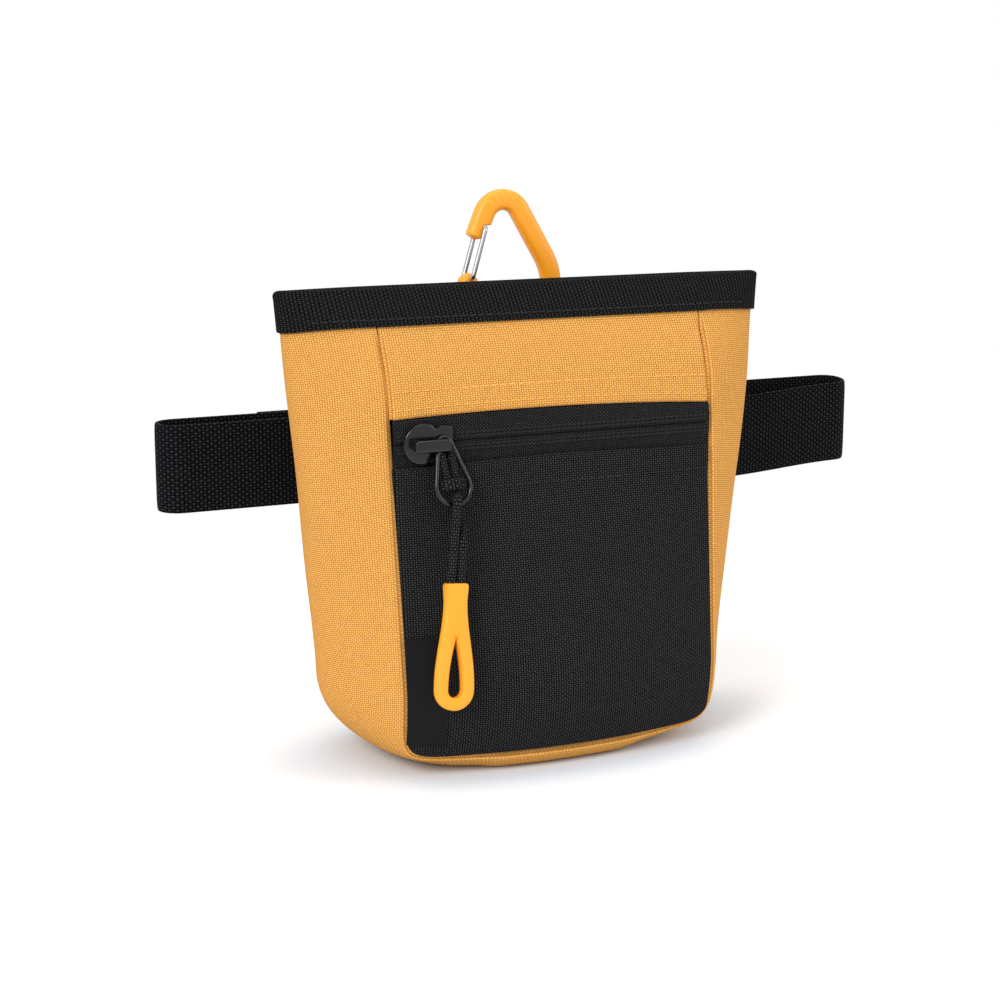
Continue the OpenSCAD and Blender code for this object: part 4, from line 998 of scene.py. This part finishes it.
settle(beltStrap("beltWebbing", beltPlan), "belt", "webbing", "belt_webbing")
beltReturn = beltStrap("beltReturn", returnPlan)
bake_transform(beltReturn)
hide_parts("belt_return")
beltTop = belt["z"] + belt["w"] / 2
beltLow = belt["z"] - belt["w"] / 2
hemThread = {"y": tailLayer + belt["t"] / 2 + 0.02, "low": 72.0, "high": 93.4}
for k, fromEnd in enumerate((4.0, 8.0)):
    x = belt["hemEnd"] + fromEnd
    row = straightRow("beltThread" + str(k), (x, hemThread["y"], hemThread["low"]),
                      (x, hemThread["y"], hemThread["high"]), (0, 1, 0), "belt", blackThread)
    settle(row, "belt", "webbing")


# A point on the back's outer face as y and z, with a stand off it
def onBack(z, stand):
    return float(backAt(np.array(0.0), np.array(float(z)))[1]) + stand, z


# A strip bent in the plane across the pouch: the path is given as y and z, the strip is level along x
def sideStrip(name, path, thick, wide, x, mat):
    path = evenly(np.asarray(path, float), 0.6)
    line = np.column_stack([np.full(len(path), float(x)), path])
    return strip(name, line, thick, wide, np.array([1.0, 0.0, 0.0]), mat)


# Belt sleeve: sewn to the back above and below the belt, with room for the belt between
sleeve = {"stand": 0.7, "thick": 1.0, "wide": 56.0, "room": 0.9, "clear": 2.4, "threadHalf": 26.5,
          "threadStand": 1.22}
sleeveY = belt["front"] + belt["t"] / 2 + sleeve["room"]
sleevePath = [*[onBack(beltTop + k, sleeve["stand"]) for k in (8, 6.5, 5)],
              (sleeveY, beltTop + sleeve["clear"]), (sleeveY, belt["z"]),
              (sleeveY, beltLow - sleeve["clear"]),
              *[onBack(beltLow - k, sleeve["stand"]) for k in (5, 9, 13)]]
beltSleeve = sideStrip("beltSleeve", flow(sleevePath, 90), sleeve["thick"], sleeve["wide"], 0.0, blackWeave)
settle(beltSleeve, "pouch", "black_weave", "belt_sleeve")
for k, z in enumerate((beltTop + 6.6, beltLow - 6.5, beltLow - 11.5)):
    start = np.array([-sleeve["threadHalf"], *onBack(z, sleeve["threadStand"])])
    end = start * [-1, 1, 1]
    row = straightRow("sleeveThread" + str(k), start, end, (0, 1, 0), "sleeve", blackThread)
    settle(row, "pouch", "black_weave")

# Carabiner: a smooth rounded frame with five small notches at its top, a cut in its nose and a round gate end
hook = {"x": 1.8, "y": 17.39, "z": 121.5, "w": 6.0, "t": 5.0, "loopT": 1.2, "loopW": 12.0, "loopStand": 0.8,
        "loopOver": 2.2, "square": 0.72, "notchStep": 1.8, "notchWide": 0.28, "notchDeep": 0.5,
        "noseCut": 1.7, "noseLong": 5.6, "noseRound": 1.2, "postRound": 2.6}
loopBend = hook["w"] / 2 + 0.4 + hook["loopT"] / 2
loopPath = np.concatenate([[onBack(hook["z"] - k, hook["loopStand"]) for k in (11, 8.5, 6)],
                           arcPts(hook["y"], hook["z"], loopBend, 190, -30, 20),
                           [onBack(hook["z"] - k, hook["loopOver"]) for k in (7.7, 11)]])
carabinerLoop = sideStrip("carabinerLoop", loopPath, hook["loopT"], hook["loopW"], hook["x"], webbing)
settle(carabinerLoop, "pouch", "webbing", "carabiner_loop")

corners = [(-10.4, 22.5), (-2.8, 41.3), (14.3, 12.0), (12.7, 0.0), (-12.7, 0.0), (-12.5, 13.0)]
flatPath = evenly(roundedPath(corners, [6.0, 18.0, 6.0, 7.0], 16), 0.25)
at = lengths(flatPath)
top = at[np.argmax(flatPath[:, 1])]
toPost = at[-1] - at
toTip = np.minimum(at / hook["noseRound"], toPost / hook["postRound"])
tip = np.sqrt(np.clip(1 - (1 - toTip).clip(0, 1) ** 2, 0.02, 1))
halfW = hook["w"] / 2 * (1 - 0.1 * smooth(1 - toPost / 4)) * tip
halfT = hook["t"] / 2 * tip
framePath = points(hook["x"] + flatPath[:, 0], hook["y"], hook["z"] + flatPath[:, 1])
across = np.cross(unit(np.gradient(framePath, axis=0)), [0.0, 1.0, 0.0])
c, s = section(40, hook["square"])
notches = sum(np.exp(-((at - top - k * hook["notchStep"]) / hook["notchWide"]) ** 2) for k in range(-2, 3))
pressed = hook["notchDeep"] * notches[:, None] * np.exp(-((c - 0.45) / 0.3) ** 2)[None, :]
noseCut = hook["noseCut"] * smooth((hook["noseLong"] - at) / 0.8)[:, None] * np.clip(-c, 0, 1)[None, :]
framePts = framePath[:, None] + across[:, None] * (halfW[:, None] * c[None, :] + noseCut)[..., None]
framePts[..., 1] += (halfT[:, None] - pressed) * s[None, :]
carabinerFrame = skin("carabinerFrame", framePts, [orangeCoat], None, False, 70)
settle(carabinerFrame, "carabiner", "orange_frame", "carabiner_frame")

# Wire gate: two legs joined by a bar at the nose, each leg's foot turned in to its pivot
gate = {"d": 1.4, "foot": (-10.6, 133.2), "top": (-6.4, 147.9), "side": 3.4, "pivot": 1.2}
gatePts = [(x, hook["y"] + y, z) for (x, z), y in (
    (gate["foot"], -gate["pivot"]), (gate["foot"], -gate["side"]), (gate["top"], -gate["side"]),
    (gate["top"], gate["side"]), (gate["foot"], gate["side"]), (gate["foot"], gate["pivot"]))]
gatePath = evenly(roundedPath(gatePts, [0.9, 1.4, 1.4, 0.9]), 0.3)
carabinerGate = skin("carabinerGate", rings(gatePath, gate["d"] / 2, None, 14), [steelWire])
settle(carabinerGate, "gate", "steel_wire", "carabiner_gate")
print("carabiner and belt ready")

# Buckle and keeper: these nodes of the part stay as they are and take a moulded finish
for node in ("buckle_socket", "buckle_plug", "strap_keeper"):
    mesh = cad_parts[node].data
    mesh.materials.clear()
    mesh.materials.append(blackPlastic)


# Floor: a white sweep that fades out. Near the pouch it carries a painted shadow, a darker and cooler white
# that stands in for the contact shadow and cancels the warm light that comes back from the cloth
sweep = {"half": 400.0, "z": -0.3, "oval": (0.5, 1, 0), "paintedShadowFrom": 0.03, "paintedShadowTo": 0.046,
         "fadeFrom": 0.17, "fadeTo": 0.3}
floorMat, floorTree, floorShader = startMaterial("white floor", Roughness=0.9)
floorPlace = addNode(floorTree, "ShaderNodeTexCoord", {}).outputs["Object"]
oval = addNode(floorTree, "ShaderNodeVectorMath", {0: floorPlace, 1: sweep["oval"]}, operation="MULTIPLY")
toFoot = addNode(floorTree, "ShaderNodeVectorMath", {0: oval.outputs[0]}, operation="LENGTH")
toMiddle = addNode(floorTree, "ShaderNodeVectorMath", {0: floorPlace}, operation="LENGTH")
nearFoot = {0: toFoot.outputs["Value"], 1: sweep["paintedShadowFrom"], 2: sweep["paintedShadowTo"]}
# Painted shadow: close round the foot the floor's colour is a darker, bluish white
paintedShadowShare = addNode(floorTree, "ShaderNodeMapRange", nearFoot, interpolation_type="SMOOTHSTEP")
shadowAndWhite = {0: paintedShadowShare.outputs[0], 6: linear("#E0E9F3"), 7: linear("#FAFAFA")}
tone = addNode(floorTree, "ShaderNodeMix", shadowAndWhite, data_type="RGBA")
floorTree.links.new(tone.outputs[2], floorShader.inputs["Base Color"])
clear = addNode(floorTree, "ShaderNodeBsdfTransparent", {})
farOut = {0: toMiddle.outputs["Value"], 1: sweep["fadeFrom"], 2: sweep["fadeTo"]}
fade = addNode(floorTree, "ShaderNodeMapRange", farOut, interpolation_type="SMOOTHSTEP")
layers = {0: fade.outputs[0], 1: floorShader.outputs[0], 2: clear.outputs[0]}
blend = addNode(floorTree, "ShaderNodeMixShader", layers)
floorTree.links.new(blend.outputs[0], floorTree.nodes["Material Output"].inputs["Surface"])
floorCorners = ((-1, -1), (1, -1), (1, 1), (-1, 1))
floorPts = [[a * sweep["half"], b * sweep["half"], sweep["z"]] for a, b in floorCorners]
makeObject("floor", floorPts, [[0, 1, 2, 3]], [floorMat])

# Light: a white world that is a little dimmer on the object than in the picture, and three large soft lamps
world = bpy.data.worlds.new("studio")
bpy.context.scene.world = world
world.use_nodes = True
worldTree = world.node_tree
sky = worldTree.nodes["Background"]
rays = addNode(worldTree, "ShaderNodeLightPath", {})
glow = addNode(worldTree, "ShaderNodeMapRange", {0: rays.outputs["Is Camera Ray"], 3: 0.85, 4: 1.0})
worldTree.links.new(glow.outputs[0], sky.inputs["Strength"])
sky.inputs["Color"].default_value = (1, 1, 1, 1)


# Puts a lamp or the camera in its place and turns it to look ahead
def aim(o, place, ahead):
    bpy.context.scene.collection.objects.link(o)
    o.location = place
    o.rotation_euler = Vector(ahead).to_track_quat("-Z", "Y").to_euler()


# A round soft lamp that looks at a target
def lamp(name, place, target, size, power):
    data = bpy.data.lights.new(name, "AREA")
    data.shape = "DISK"
    data.size = size
    data.energy = power
    aim(bpy.data.objects.new(name, data), place, np.array(target) - np.array(place))


lamp("key", (-0.85, -0.6, 0.7), (0, 0, 0.07), 0.6, 8.0)
lamp("fill", (0.85, -0.6, 0.5), (0, 0, 0.07), 0.7, 3.0)
lamp("top", (0.0, 0.15, 1.2), (0, 0, 0.0), 0.9, 3.0)

# Camera: from the left of the front and a little above, as in the photo
shot = {"azimuth": 23.27, "height": 12.01, "far": 0.5861, "look": (-0.00811, 0.0, 0.07104), "lens": 73.62,
        "sensor": 36.0}
az = math.radians(shot["azimuth"])
el = math.radians(shot["height"])
backward = np.array([-math.sin(az) * math.cos(el), -math.cos(az) * math.cos(el), math.sin(el)])
cameraData = bpy.data.cameras.new("camera")
cameraData.lens = shot["lens"]
cameraData.sensor_width = shot["sensor"]
camera = bpy.data.objects.new("camera", cameraData)
aim(camera, np.array(shot["look"]) + backward * shot["far"], -backward)
bpy.context.scene.camera = camera
bpy.context.scene.view_settings.view_transform = "Standard"

print("scene ready")
